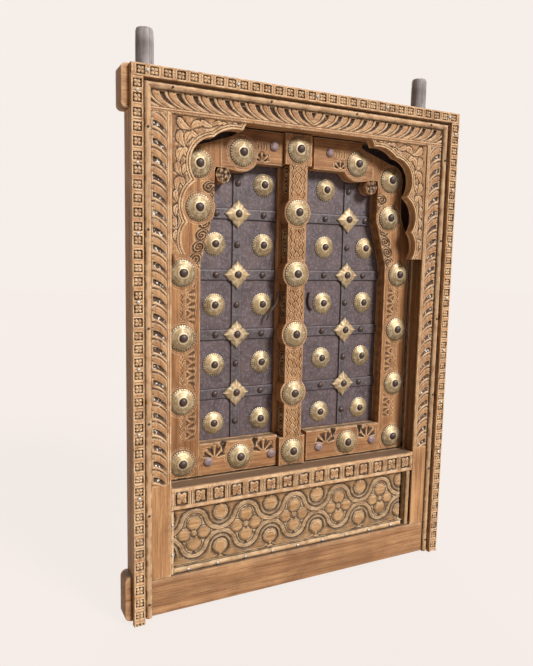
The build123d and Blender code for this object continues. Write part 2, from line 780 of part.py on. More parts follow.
# Meeting column: blocks at both ends, a lobe round each boss between and narrow necks
column_xs = (column_left, column_right)
neck_half = column_neck_width / 2
column_face = area((column_offset - neck_half, column_offset + neck_half), leaf_zs)
column_face += area(column_xs, (leaf_foot, leaf_foot + column_block_height))
column_face += area(column_xs, (leaf_top - column_block_height, leaf_top))
for boss_z in frame_boss_rows[1:-1]:
    column_face += disc(column_offset, boss_z, column_lobe_radius)
column = slab(column_face, (column_front, sheet_front))
column += block(column_xs, (sheet_front - column_base_thickness, sheet_front), leaf_zs)
save(column, "meeting_column")

# Remains of the latch: a bent hook on its staple on the left leaf, a broken loop on the right
hook_x = column_left - hook_pin_gap
hook_front = sheet_front - latch_stand_off - latch_thickness
hook_path = Polyline(
    (hook_x + hook_head_turn, leaf_mid + hook_head_rise),
    (hook_x, leaf_mid),
    (hook_x - hook_bend_turn, leaf_mid - hook_bend_drop),
    (hook_x - hook_tip_turn, leaf_mid - hook_tip_drop),
)
hook = slab(trace(hook_path, latch_width), (hook_front, hook_front + latch_thickness))
pin_mid = (hook_front + sheet_front) / 2
hook += Pos(hook_x, pin_mid, leaf_mid) * Box(latch_width, sheet_front - hook_front, latch_width)
save(hook, "left_latch_hook")
loop_x = column_right + loop_gap
loop_path = Polyline(
    (loop_x + loop_head_turn, leaf_mid + loop_head_rise),
    (loop_x, leaf_mid + loop_bend_rise),
    (loop_x + loop_knee_turn, leaf_mid - loop_knee_drop),
    (loop_x + loop_tip_turn, leaf_mid - loop_tip_drop),
)
save(slab(trace(loop_path, latch_thickness), (sheet_front - loop_height, sheet_front)), "right_latch_loop")
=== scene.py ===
# %% [markdown]
# # A carved wooden window
# A hardwood frame holds two shutters that swing on wooden pivots behind its jambs. The packed
# model already gives every piece its place, size and motion. This lesson gives each piece its
# surface: the carver's cuts, the beaten brass, the rusted iron, and the light to see them by.

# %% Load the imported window
import json
from collections import namedtuple
from math import cos, hypot, pi, radians, sin

import bmesh
import bpy
import numpy as np
from mathutils import Matrix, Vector
from mathutils.geometry import delaunay_2d_cdt


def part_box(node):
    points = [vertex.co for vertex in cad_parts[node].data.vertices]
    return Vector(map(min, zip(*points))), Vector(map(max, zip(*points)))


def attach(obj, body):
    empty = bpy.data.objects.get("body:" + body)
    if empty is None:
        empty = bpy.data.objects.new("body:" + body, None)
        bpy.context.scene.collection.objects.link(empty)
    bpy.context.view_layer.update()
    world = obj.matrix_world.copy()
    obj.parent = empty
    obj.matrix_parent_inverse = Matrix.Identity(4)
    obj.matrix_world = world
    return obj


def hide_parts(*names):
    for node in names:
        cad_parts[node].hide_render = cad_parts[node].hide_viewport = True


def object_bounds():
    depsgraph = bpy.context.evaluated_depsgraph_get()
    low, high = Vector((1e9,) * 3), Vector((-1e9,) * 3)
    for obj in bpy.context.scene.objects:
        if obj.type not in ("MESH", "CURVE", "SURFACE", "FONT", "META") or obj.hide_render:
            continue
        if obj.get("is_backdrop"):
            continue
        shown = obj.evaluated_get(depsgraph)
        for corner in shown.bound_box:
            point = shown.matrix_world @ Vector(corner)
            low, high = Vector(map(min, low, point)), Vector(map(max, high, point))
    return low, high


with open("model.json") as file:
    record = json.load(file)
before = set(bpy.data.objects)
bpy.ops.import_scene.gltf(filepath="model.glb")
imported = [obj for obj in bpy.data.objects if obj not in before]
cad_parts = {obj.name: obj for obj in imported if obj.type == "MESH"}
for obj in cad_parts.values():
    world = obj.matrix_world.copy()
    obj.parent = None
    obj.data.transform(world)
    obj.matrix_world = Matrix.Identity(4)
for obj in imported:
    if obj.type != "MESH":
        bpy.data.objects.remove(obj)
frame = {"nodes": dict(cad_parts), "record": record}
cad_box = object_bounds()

print("packed pieces:", len(frame["nodes"]))

# %% [markdown]
# ## Reading places and sizes
# Sizes could be typed in again, but then the dressed window would drift from the model. So a
# piece's box, the outline of its flat face and the spots of its nails are read from the packed
# meshes. Lengths below are in millimetres, and are turned to metres when a mesh is made.

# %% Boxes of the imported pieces
MM = 0.001
FACE = [0, 2]
record = frame["record"]
body_of = {node: body for body, nodes in record["behaviour"]["bodies"].items() for node in nodes}


def span(node):
    """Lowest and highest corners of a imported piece, in millimetres."""
    low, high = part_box(node)
    return np.array(low) / MM, np.array(high) / MM


def middle_of(box):
    """Middle of a box in X and Z."""
    return (box[0] + box[1])[FACE] / 2


def corners_of(node):
    """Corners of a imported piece, rounded so that shared ones are equal."""
    mesh = frame["nodes"][node].data
    return [tuple(np.round(np.array(vertex.co) / MM, 2)) for vertex in mesh.vertices]


def islands(node):
    """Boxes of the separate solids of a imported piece, as (lowest, highest) corners."""
    corners = corners_of(node)
    owner = {corner: corner for corner in corners}

    def root(corner):
        while owner[corner] != corner:
            corner = owner[corner]
        return corner

    for face in frame["nodes"][node].data.polygons:
        ring = [root(corners[index]) for index in face.vertices]
        for corner in ring:
            owner[root(corner)] = root(ring[0])
    groups = {}
    for corner in owner:
        groups.setdefault(root(corner), []).append(corner)
    boxes = [np.array(group) for group in groups.values()]
    return sorted([(box.min(0), box.max(0)) for box in boxes], key=lambda box: tuple(box[0]))


for node in ("right_frame_bosses", "border_nails"):
    print(node, "has", len(islands(node)), "solids")

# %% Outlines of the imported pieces
FLAT = 0.05


def without_straight_points(loop):
    """The loop with only the points at which it turns."""
    before = loop - np.roll(loop, 1, axis=0)
    after = np.roll(loop, -1, axis=0) - loop
    turn = before[:, 0] * after[:, 1] - before[:, 1] * after[:, 0]
    size = np.hypot(*before.T) * np.hypot(*after.T)
    return loop[np.abs(turn) > 0.001 * size]


def counter_clockwise(loop):
    """The loop, turned round if it runs clockwise."""
    after = np.roll(loop, -1, axis=0)
    area = np.sum(loop[:, 0] * after[:, 1] - after[:, 0] * loop[:, 1])
    return loop if area > 0 else loop[::-1]


def face_loops(node, depth):
    """Closed outlines, in X and Z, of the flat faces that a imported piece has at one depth."""
    corners = corners_of(node)
    edges = set()
    for face in frame["nodes"][node].data.polygons:
        ring = [corners[index] for index in face.vertices]
        if all(abs(corner[1] - depth) < FLAT for corner in ring):
            for here, after in zip(ring, ring[1:] + ring[:1]):
                if (after, here) in edges:
                    edges.remove((after, here))
                else:
                    edges.add((here, after))
    following = {here[::2]: after[::2] for here, after in sorted(edges)}
    loops = []
    while following:
        start, point = following.popitem()
        loop = [start]
        while point != start:
            loop.append(point)
            point = following.pop(point)
        loops.append(without_straight_points(np.array(loop)))
    return loops


stile_loops = face_loops("right_stile", span("right_stile")[0][1])
print("points in the outline of a stile:", [len(loop) for loop in stile_loops])

# %% [markdown]
# ## Finishes
# Each finish is a small tree of nodes. It could be drawn in the node editor, but written out it
# can be read and repeated. One helper adds a node with its settings and links, one turns a hex
# colour, as an eye would pick it, into the linear values that light needs, and one lays colours
# over each other as years of oil, smoke and wear do.

# %% Helpers for node trees
def linear(code):
    """Linear RGBA of an sRGB hex colour."""
    shares = [int(code[place:place + 2], 16) / 255 for place in (1, 3, 5)]
    return [s / 12.92 if s <= 0.04045 else ((s + 0.055) / 1.055) ** 2.4 for s in shares] + [1.0]


def add(tree, kind, inputs=None, **settings):
    """Add a node, set its properties, and fill its inputs with values or links."""
    node = tree.nodes.new(kind)
    for name, value in settings.items():
        setattr(node, name, value)
    for socket, value in (inputs or {}).items():
        if isinstance(value, bpy.types.NodeSocket):
            tree.links.new(value, node.inputs[socket])
        else:
            node.inputs[socket].default_value = value
    return node


def new_material(name):
    """Material with an empty tree of nodes."""
    material = bpy.data.materials.new(name)
    material.use_nodes = True
    material.node_tree.nodes.clear()
    return material, material.node_tree


def layered(tree, colour, layers):
    """Lay colours over one another, each where its value goes from low to high.

    A layer is (value, low, high, top share, mask or None, hex colour).
    """
    for value, low, high, top, mask, tint in layers:
        spread = {"Value": value, "From Min": low, "From Max": high, "To Max": top}
        share = add(tree, "ShaderNodeMapRange", spread).outputs[0]
        if mask is not None:
            share = add(tree, "ShaderNodeMath", {0: share, 1: mask}, operation="MULTIPLY").outputs[0]
        mixed = add(tree, "ShaderNodeMix", {0: share, 6: colour, 7: linear(tint)}, data_type="RGBA")
        colour = mixed.outputs[2]
    return colour


print("linear value of middle grey:", round(linear("#808080")[0], 3))

# %% [markdown]
# ## Old hardwood
# The frame is oiled hardwood with long brown grain. Hands and weather have polished the proud
# edges pale, and old lime has stayed in the cuts. A painted picture could hold all that, but
# would need unwrapping and would blur close up. Instead the meshes carry three values at each
# point: its place along the grain, how hollow it is and how worn. Noise stretched along the grain
# gives the figure, and those values lay wear, and painted shade mixed with dirt in the cuts. More
# painted shade darkens where two surfaces meet, found from the space around a point.

# %% Wood finish
# Reach of the painted occlusion shade where surfaces meet, in millimetres.
SHADE_REACH = 9.0
LIME = "#EFE6D8"
DUST = "#6E5A49"
# Each mark: length along the grain and width across it in millimetres, detail, distortion.
# Real pores are some 0.2 mm wide, too fine for the picture, so they are drawn 0.9 mm wide.
WOOD_MARKS = {
    "figure": (260, 11, 4.0, 0.8),
    "streaks": (120, 2.4, 3.0, 0.4),
    "pores": (14, 0.9, 2.0, 0.0),
    "patches": (130, 60, 3.0, 0.5),
    "smudges": (16, 12, 4.0, 0.0),
    "flecks": (7, 5, 2.0, 0.0),
}


def aged_wood(name, pale, honey, streak, hollow, worn, lime_share=0.5, lime_low=0.64):
    """Hardwood in two grain colours with streaks, painted shade with dirt in the cuts, worn ridges and flecks
    of old lime.
    """
    material, tree = new_material(name)
    grain = add(tree, "ShaderNodeAttribute", attribute_name="grain").outputs["Vector"]
    hollows = add(tree, "ShaderNodeAttribute", attribute_name="hollow").outputs["Fac"]
    wear = add(tree, "ShaderNodeAttribute", attribute_name="worn").outputs["Fac"]
    facing = add(tree, "ShaderNodeNewGeometry").outputs["Normal"]
    upward = add(tree, "ShaderNodeSeparateXYZ", {0: facing}).outputs["Z"]
    occlusion_shade = add(tree, "ShaderNodeAmbientOcclusion", {"Distance": SHADE_REACH * MM}, samples=4).outputs["AO"]

    marks = {}
    for mark, (along, across, detail, distortion) in WOOD_MARKS.items():
        scale = (1 / (along * MM), 1 / (across * MM), 1 / (across * MM))
        place = add(tree, "ShaderNodeMapping", {"Vector": grain, "Scale": scale}).outputs[0]
        noise = {"Vector": place, "Scale": 1.0, "Detail": detail, "Distortion": distortion}
        marks[mark] = add(tree, "ShaderNodeTexNoise", noise).outputs["Fac"]
    masks = {}
    for mask, mark, low, high in (
        ("shade_and_grime", "smudges", 0.10, 0.42),
        ("rubbed", "smudges", 0.28, 0.58),
        ("limed", "flecks", lime_low, lime_low + 0.06),
    ):
        spread = {"Value": marks[mark], "From Min": low, "From Max": high}
        masks[mask] = add(tree, "ShaderNodeMapRange", spread).outputs[0]

    colour = layered(tree, linear(honey), (
        (marks["figure"], 0.36, 0.66, 1.0, None, pale),
        (marks["streaks"], 0.50, 0.72, 0.8, None, streak),
        (marks["patches"], 0.48, 0.74, 0.55, None, streak),
        (marks["pores"], 0.58, 0.72, 0.4, None, hollow),
        (upward, 0.6, 0.97, 0.9, None, DUST),
        # Painted shade with patchy dirt: the deeper the cut, the darker.
        (hollows, 0.06, 0.7, 0.92, masks["shade_and_grime"], hollow),
        # Painted shade where two surfaces meet, from the space round a point.
        (occlusion_shade, 0.72, 0.30, 0.8, None, hollow),
        (wear, 0.06, 0.5, 0.7, masks["rubbed"], worn),
        (hollows, 0.5, 0.75, lime_share, masks["limed"], LIME),
    ))
    fibres = {0: marks["streaks"], 1: marks["pores"]}
    height = add(tree, "ShaderNodeMath", fibres, operation="SUBTRACT").outputs[0]
    bump = add(tree, "ShaderNodeBump", {"Strength": 0.8, "Distance": 0.9 * MM, "Height": height}).outputs[0]
    matt = {"Value": marks["smudges"], "To Min": 0.46, "To Max": 0.72}
    rough = add(tree, "ShaderNodeMapRange", matt).outputs[0]
    shader = add(
        tree, "ShaderNodeBsdfPrincipled",
        {"Base Color": colour, "Roughness": rough, "Normal": bump, "IOR": 1.47, "Specular IOR Level": 0.35},
    ).outputs[0]
    add(tree, "ShaderNodeOutputMaterial", {"Surface": shader})
    return material


# Carved and oiled: honey flats between cuts painted nearly black as shade with dirt, with ridges rubbed pale.
carved_wood = aged_wood("oiled_carved_hardwood", "#D0A06F", "#AE7D52", "#75492A", "#2E190A", "#EDCBA2")
# The same wood once limewashed: white crumbs still sit in the deepest cuts.
limed_wood = aged_wood(
    "limed_carved_hardwood", "#CC9C6C", "#AA7950", "#724728", "#2E190A", "#EBC9A0",
    lime_share=0.8, lime_low=0.57)
# Smoked and handled: darker and redder, with soft shine and little lime.
shutter_wood = aged_wood(
    "smoked_carved_hardwood", "#C08E5E", "#986842", "#643C21", "#251307", "#E4BC90", lime_share=0.2)
# Planed by hand: long quiet grain, seen in broad bands.
beam_wood = aged_wood(
    "oiled_plain_hardwood", "#C19165", "#9D6F49", "#6A4428", "#2E1A0C", "#D6AE84", lime_share=0.2)
# Dried out low on the wall: a cooler, dustier tan.
apron_wood = aged_wood(
    "oiled_apron_hardwood", "#CBA274", "#AC8156", "#785431", "#301D0C", "#E8C79D", lime_share=0.3)
# Bare to sun and rain: silver grey with dark checks.
pivot_wood = aged_wood("weathered_grey_hardwood", "#A29A98", "#7F7675", "#4A3E3F", "#2C2323", "#CBC4C1")
# Sawn and never oiled: dull brown without contrast.
board_wood = aged_wood("sawn_dark_hardwood", "#7D5C3E", "#6A4A2F", "#4C331F", "#2C1C10", "#8F6E4C")
print("wood finishes:", [material.name for material in bpy.data.materials])

# %% [markdown]
# ## Brass and iron
# The domes and stars are sheet brass, beaten over a form and never polished since. The iron is
# old paint and rust over sheet, strap and nail. A scanned metal would be truer in one spot and
# wrong in the next, so both are noise in millimetres over a typical metal. An oxide film or
# paint hides most of the metal, which is why these finishes are only part metallic.

# %% Metal finishes
def beaten_metal(name, base, dull, bright, rust, metallic, roughness, dent, depth, rust_low, scratch=0.0):
    """Hammered metal with dull clouds, bright dents and edges, rust, and painted shade in the hollows and
    where surfaces meet.

    Dent and depth are the size and depth of a hammer mark in millimetres.
    """
    material, tree = new_material(name)
    place = add(tree, "ShaderNodeTexCoord").outputs["Object"]
    hollows = add(tree, "ShaderNodeAttribute", attribute_name="hollow").outputs["Fac"]
    wear = add(tree, "ShaderNodeAttribute", attribute_name="worn").outputs["Fac"]
    occlusion_shade = add(tree, "ShaderNodeAmbientOcclusion", {"Distance": SHADE_REACH * MM}, samples=4).outputs["AO"]
    marks = {}
    # Grit is really about 0.3 mm and scratches are hair fine, so both are drawn wider to show.
    for mark, wide, tall, detail in (
        ("clouds", 30, 30, 4.0),
        ("dents", dent, dent, 2.0),
        ("grit", 1.6, 1.6, 3.0),
        ("scratches", 2.0, 24, 3.0),
    ):
        scale = (1 / (wide * MM), 1 / (wide * MM), 1 / (tall * MM))
        spot = add(tree, "ShaderNodeMapping", {"Vector": place, "Scale": scale}).outputs[0]
        noise = {"Vector": spot, "Scale": 1.0, "Detail": detail}
        marks[mark] = add(tree, "ShaderNodeTexNoise", noise).outputs["Fac"]
    colour = layered(tree, linear(base), (
        (marks["clouds"], 0.38, 0.66, 0.85, None, dull),
        (marks["dents"], 0.48, 0.68, 0.5, None, bright),
        (marks["clouds"], rust_low, rust_low + 0.1, 0.7, None, rust),
        (marks["scratches"], 0.55, 0.70, scratch, None, bright),
        (wear, 0.04, 0.5, 0.75, None, bright),
        # Painted shade in the rust colour: by the hollow value, and where surfaces meet.
        (hollows, 0.0, 1.0, 0.95, None, rust),
        (occlusion_shade, 0.70, 0.30, 0.85, None, rust),
    ))
    satin = {"Value": marks["grit"], "To Min": roughness - 0.1, "To Max": roughness + 0.18}
    rough = add(tree, "ShaderNodeMapRange", satin).outputs[0]
    hammered = {0: marks["dents"], 1: marks["grit"]}
    height = add(tree, "ShaderNodeMath", hammered, operation="ADD").outputs[0]
    bump = add(tree, "ShaderNodeBump", {"Strength": 0.5, "Distance": depth * MM, "Height": height}).outputs[0]
    shader = add(
        tree, "ShaderNodeBsdfPrincipled",
        {"Base Color": colour, "Metallic": metallic, "Roughness": rough, "Normal": bump},
    ).outputs[0]
    add(tree, "ShaderNodeOutputMaterial", {"Surface": shader})
    return material


# Beaten brass with age: satin olive gold, pale where hands reach, with painted shade nearly black at the
# rims.
brass = beaten_metal(
    "beaten_aged_brass", "#A88C61", "#78603E", "#E9DABA", "#2B1E12",
    metallic=0.4, roughness=0.44, dent=8, depth=0.6, rust_low=0.68)
# Thinner brass, cut and flattened: paler and more even.
star_brass = beaten_metal(
    "beaten_pale_brass", "#B2956C", "#876D49", "#E4D3B3", "#3E2E1D",
    metallic=0.4, roughness=0.44, dent=8, depth=0.5, rust_low=0.68)
# Painted sheet iron: plum brown and flat, with scratches down to grey.
sheet_iron = beaten_metal(
    "painted_sheet_iron", "#5C4B49", "#413436", "#7A7079", "#2E1C16",
    metallic=0.12, roughness=0.52, dent=6, depth=0.5, rust_low=0.66, scratch=0.35)
# Hammered strap iron: greyer than the sheet, with a faint sheen.
strap_iron = beaten_metal(
    "hammered_strap_iron", "#554A4C", "#3F3638", "#7C7276", "#3A231B",
    metallic=0.18, roughness=0.48, dent=7, depth=0.5, rust_low=0.64, scratch=0.35)
# Forged nails: almost black, with a small soft glint.
nail_iron = beaten_metal(
    "forged_dark_iron", "#3B2922", "#2A1C17", "#4C3A32", "#170E0A",
    metallic=0.15, roughness=0.42, dent=4, depth=0.4, rust_low=0.68)
# Broad clench heads: dry mauve rust.
clench_iron = beaten_metal(
    "forged_rusty_iron", "#836C6B", "#665150", "#A28E8F", "#4C322B",
    metallic=0.2, roughness=0.50, dent=6, depth=0.6, rust_low=0.62)
# Small nails rubbed by cloth and hands: grey points that catch the light.
bright_nail = beaten_metal(
    "worn_bright_iron", "#86807A", "#615A55", "#E0DCD6", "#453831",
    metallic=0.5, roughness=0.42, dent=3, depth=0.3, rust_low=0.62)
print("finishes in all:", len(bpy.data.materials))

# %% [markdown]
# ## From outline to slab
# Nearly every timber is a slab: an outline, a thickness and a carved face. It could be sculpted,
# or displaced by a picture, but then its edges would soften and no two runs would agree. Here a
# grid of points is laid inside the outline, a constrained Delaunay triangulation joins them to
# it, and each point is pushed into the wood by the depth of the carving. The outline stays exact,
# the mesh stays closed, and the grid is fine only where there is something to carve.

# %% Outlines and distances
def rectangle(low, high):
    """Counter-clockwise rectangle between two corners."""
    return np.array([(low[0], low[1]), (high[0], low[1]), (high[0], high[1]), (low[0], high[1])], float)


def circle(centre, radius, count=48, sense=1):
    """Points on a circle; sense -1 runs clockwise, as the edge of a hole."""
    turns = np.arange(count) * 2 * pi / count * sense
    return np.stack([centre[0] + radius * np.cos(turns), centre[1] + radius * np.sin(turns)], 1)


def resample(loop, spacing):
    """Points along a closed outline at about one spacing, with its corners kept."""
    runs = []
    for here, after in zip(loop, np.roll(loop, -1, axis=0)):
        count = max(1, round(np.hypot(*(after - here)) / spacing))
        runs.append(here + np.outer(np.arange(count) / count, after - here))
    return np.concatenate(runs)


def inside(points, loops):
    """True for points within the outlines, by the even-odd rule."""
    odd = np.zeros(len(points), bool)
    for loop in loops:
        for (u0, v0), (u1, v1) in zip(loop, np.roll(loop, -1, axis=0)):
            if v0 != v1:
                crosses = (points[:, 1] < v0) != (points[:, 1] < v1)
                reach = u0 + (points[:, 1] - v0) * ((u1 - u0) / (v1 - v0))
                odd ^= crosses & (points[:, 0] < reach)
    return odd


def path_distance(u, v, path, closed=False):
    """Distance from points to a line of straight runs."""
    ends = np.roll(path, -1, axis=0) if closed else path[1:]
    nearest = np.full(np.shape(u), np.inf)
    for (u0, v0), (u1, v1) in zip(path, ends):
        du, dv = u1 - u0, v1 - v0
        share = np.clip(((u - u0) * du + (v - v0) * dv) / max(du * du + dv * dv, 1e-9), 0, 1)
        nearest = np.minimum(nearest, np.hypot(u - u0 - share * du, v - v0 - share * dv))
    return nearest


def edge_distance(points, loops):
    """Distance from points to the nearest outline."""
    return np.min([path_distance(points[:, 0], points[:, 1], loop, True) for loop in loops], axis=0)


unit_square = rectangle((0, 0), (1, 1))
print("edge distance at a square's middle:", edge_distance(np.array([(0.5, 0.5)]), [unit_square])[0])

# %% Points and triangles within an outline
GRID_FINE = 1.6
GRID_PLAIN = 7.0


def inward_normals(rings):
    """Direction into the wood at each point of closed outlines."""
    normals = []
    for ring in rings:
        along = np.roll(ring, -1, axis=0) - np.roll(ring, 1, axis=0)
        normals.append(np.stack([-along[:, 1], along[:, 0]], 1) / np.hypot(*along.T)[:, None])
    return np.concatenate(normals)


def inset_row(border, inward, inset, loops):
    """The border's points moved inwards, without those that come too near another edge."""
    row = border + inward * inset
    row = row[inside(row, loops)]
    return row[edge_distance(row, loops) > 0.9 * inset]


def grid_points(loops, plots, edge):
    """Staggered grid for each plot, where a later plot takes the place of the earlier ones."""
    spacing = plots[0][2]
    grids = []
    for number, (start, end, step) in enumerate(plots):
        us, vs = np.arange(start[0], end[0], step), np.arange(start[1], end[1], step)
        grid = np.stack(np.meshgrid(us, vs), -1)
        grid[1::2, :, 0] += step / 2
        grid = grid.reshape(-1, 2)
        for later_low, later_high, _ in plots[number + 1:]:
            taken = (grid > later_low - step / 2) & (grid < later_high + step / 2)
            grid = grid[~np.all(taken, axis=1)]
        grid = grid[inside(grid, loops)]
        grids.append(grid[edge_distance(grid, loops) > edge + 0.5 * min(step, spacing)])
    return grids


def triangles(points, rings, loops):
    """Triangles that join all the points within the outlines."""
    starts = np.cumsum([0] + [len(ring) for ring in rings])
    edges = []
    for start, ring in zip(starts, rings):
        count = len(ring)
        edges += [(int(start + n), int(start + (n + 1) % count)) for n in range(count)]
    made = delaunay_2d_cdt(points.tolist(), edges, [], 0, 1e-5)
    faces = np.array(made[2])
    middles = points[faces].mean(axis=1)
    return faces[inside(middles, loops)]


print("triangles in a square:", len(triangles(unit_square, [unit_square], [unit_square])))

# %% Slab maker
Shape = namedtuple("Shape", "verts faces hollow")


def upright(u, v, w):
    """Face in X and Z, depth along Y."""
    return np.stack([u, w, v], 1)


def level(u, v, w):
    """Face in X and Y, depth downward from a height given as its negative."""
    return np.stack([u, v, -w], 1)


def slab(loops, front, back, relief=None, spacing=GRID_PLAIN, edge=1.4, fine=(), place=upright, both=False,
         rows=1, wall=None, shade_paint=None):
    """Closed slab between two depths, with softened edges.

    The front is cut by relief(u, v), and the sides by wall(u, v, depth) in a number of rows. Fine
    lists boxes with a finer grid, both softens the back too, and the last argument adds painted shade
    without a cut.
    """
    rings = [resample(loop, spacing) for loop in loops]
    border = np.concatenate(rings)
    inward = inward_normals(rings)
    rim = [border] + [inset_row(border, inward, inset, loops) for inset in (0.35 * edge, edge)]
    plots = [(border.min(0), border.max(0), spacing)]
    plots += [(np.array(low), np.array(high), GRID_FINE) for low, high in fine]
    points = np.concatenate(rim + grid_points(loops, plots, edge))
    faces = triangles(points, rings, loops)
    gap = np.concatenate([np.zeros(len(border)), edge_distance(points[len(border):], loops)])
    short = np.clip(edge - gap, 0, edge)
    soft = edge - np.sqrt(edge ** 2 - short ** 2)
    u, v = points.T
    cut = relief(u, v) if relief else np.zeros(len(points))
    verts = [place(u, v, front + soft + cut)]
    hollow = [cut + (shade_paint(u, v) if shade_paint else 0)]

    wall_start, wall_end = front + edge, back - (edge if both else 0.0)
    for share in np.arange(1, rows + 1) / (rows + 1):
        depth = wall_start * (1 - share) + wall_end * share
        cut = wall(border[:, 0], border[:, 1], depth) if wall else np.zeros(len(border))
        sunk = border + inward * cut[:, None]
        verts.append(place(sunk[:, 0], sunk[:, 1], np.full(len(border), depth)))
        hollow.append(cut)

    behind, back_faces, back_depth = points, faces, back - soft
    if not both:
        behind = np.concatenate(rim)
        back_faces, back_depth = triangles(behind, rings, loops), np.full(len(behind), back)
    verts.append(place(behind[:, 0], behind[:, 1], back_depth))
    hollow.append(np.zeros(len(behind)))

    starts = np.cumsum([0] + [len(part) for part in verts])
    all_faces = faces.tolist() + (back_faces[:, ::-1] + starts[-2]).tolist()
    ring_starts = np.cumsum([0] + [len(ring) for ring in rings])
    for upper, lower in zip(starts[:-2], starts[1:-1]):
        for start, ring in zip(ring_starts, rings):
            here = start + np.arange(len(ring))
            after = np.roll(here, -1)
            all_faces += np.stack([upper + here, lower + here, lower + after, upper + after], 1).tolist()
    return Shape(np.concatenate(verts), all_faces, np.concatenate(hollow))


print("faces of a small plain slab:", len(slab([rectangle((0, 0), (40, 20))], 0, 10).faces))

# %% [markdown]
# ## From shapes to a piece
# A piece of the window may be one shape or many, such as a row of nails. They could stay apart,
# but one mesh for each imported piece is easier to pose and export. It gets its grain, hollow and
# worn values, and rides on the body of the imported piece that it stands for.

# %% Piece maker
SMOOTH_ANGLE = 38
# Depth of a cut in millimetres at which its hollow value, and with it the painted shade, is full.
HOLLOW_FULL = 3.2
WEAR_GAIN = 3
made_count = {}


def worn_values(mesh):
    """How far each point stands out from its neighbours: 0 on flats and hollows, 1 on sharp edges."""
    count = len(mesh.vertices)
    places = np.empty(count * 3, np.float32)
    mesh.vertices.foreach_get("co", places)
    places = places.reshape(-1, 3)
    normals = np.empty(count * 3, np.float32)
    mesh.vertex_normals.foreach_get("vector", normals)
    ends = np.empty(len(mesh.edges) * 2, np.int32)
    mesh.edges.foreach_get("vertices", ends)
    first, second = ends.reshape(-1, 2).T
    offset = places[second] - places[first]
    length = np.linalg.norm(offset, axis=1)
    lean = np.zeros((count, 3))
    reach = np.zeros(count)
    for here, sense in ((first, 1), (second, -1)):
        np.add.at(lean, here, sense * offset)
        np.add.at(reach, here, length)
    bulge = -np.sum(lean * normals.reshape(-1, 3), axis=1) / np.maximum(reach, 1e-9)
    return np.clip(bulge * WEAR_GAIN, 0, 1)


def piece(node, shapes, material, along="z"):
    """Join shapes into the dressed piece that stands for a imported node, with its grain along X or Z."""
    verts = np.concatenate([shape.verts for shape in shapes])
    starts = np.cumsum([0] + [len(shape.verts) for shape in shapes])
    faces = []
    for start, shape in zip(starts, shapes):
        faces += [[start + index for index in face] for face in shape.faces]
    mesh = bpy.data.meshes.new(node + "_dressed")
    mesh.from_pydata((verts * MM).tolist(), [], faces)
    work = bmesh.new()
    work.from_mesh(mesh)
    bmesh.ops.recalc_face_normals(work, faces=work.faces)
    work.to_mesh(mesh)
    work.free()
    mesh.shade_smooth()
    mesh.set_sharp_from_angle(angle=radians(SMOOTH_ANGLE))

    order = {"x": (0, 1, 2), "z": (2, 0, 1)}[along]
    shift = np.random.default_rng(len(made_count)).uniform(0, 3, 3)
    grain = verts[:, order] * MM + shift
    hollow = np.clip(np.concatenate([shape.hollow for shape in shapes]) / HOLLOW_FULL, 0, 1)
    mesh.attributes.new("grain", "FLOAT_VECTOR", "POINT").data.foreach_set("vector", grain.ravel())
    mesh.attributes.new("hollow", "FLOAT", "POINT").data.foreach_set("value", hollow)
    mesh.attributes.new("worn", "FLOAT", "POINT").data.foreach_set("value", worn_values(mesh))
    mesh.materials.append(material)

    made = bpy.data.objects.new(node + "_dressed", mesh)
    bpy.context.scene.collection.objects.link(made)
    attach(made, body_of[node])
    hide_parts(node)
    made_count[node] = sum(len(face) - 2 for face in faces)
    return made


print("pieces to dress:", len(body_of))

# %% [markdown]
# ## Carving tools
# A carver works with a few cuts: a smooth slope, a groove along a line and a rounded ridge. One
# could cut each with a boolean, which is slow and leaves poor meshes. These helpers give the
# depth of a cut for many points at once, so cuts add up like numbers. A gentle unevenness keeps
# every face from looking machine made.

# %% Cuts
def smooth(low, high, value):
    """Soft step from 0 at low to 1 at high."""
    share = np.clip((value - low) / (high - low), 0, 1)
    return share * share * (3 - 2 * share)


def groove(distance, width):
    """1 in the middle of a cut, falling to 0 at half its width."""
    return 1 - smooth(0, width / 2, np.abs(distance))


def uneven(u, v, size, seed):
    """Hand-made unevenness between -1 and 1: a few crossing waves of about one size.

    The seed picks the directions and lengths of the waves, so each timber has its own.
    """
    dice = np.random.default_rng(seed)
    waves = dice.uniform((0, 0, 0.7), (2 * pi, 2 * pi, 1.6), (7, 3))
    total = 0
    for turn, phase, stretch in waves:
        total = total + np.sin((u * cos(turn) + v * sin(turn)) * 2 * pi / (size * stretch) + phase)
    return total / len(waves)


def dented(depth, size, seed):
    """Relief of shallow dents of about one size."""
    return lambda u, v: depth * (0.5 + 0.5 * uneven(u, v, size, seed))


def hewn(u, v, seed, depth=0.35):
    """Shallow tool marks of a hand-planed face: long waves and short ripples."""
    return dented(depth, 45, seed)(u, v) + dented(0.4 * depth, 9, seed + 1)(u, v)


def motif_depth(motifs, crown, shoulder, ground, well, fade=4.0, steep=5.0):
    """Depth of motifs given by signed distances from their edges.

    Inside, the top is rounded. A cut follows the edge, and the ground rises again away from it.
    """
    nearest = np.min(motifs, axis=0)
    outside = np.minimum(crown + steep * nearest, ground + well * np.exp(-nearest / fade))
    tops = [np.where(gap < 0, crown * np.clip(1 + gap / shoulder, 0, 1) ** 2, np.inf) for gap in motifs]
    return np.where(nearest < 0, np.min(tops, axis=0), outside)


print("depth across a groove:", np.round(groove(np.arange(4.0), 6.0), 2))

# %% [markdown]
# ## Jambs, head and their leaf band
# A band of S-shaped leaves runs up both jambs and along the head, turning away from the upper
# corners. One modelled leaf in an array would have to be bent and cut at each end. Here every
# leaf is the same section, slid along the band further and further towards the opening, so one
# table of depths across a leaf draws the whole row.

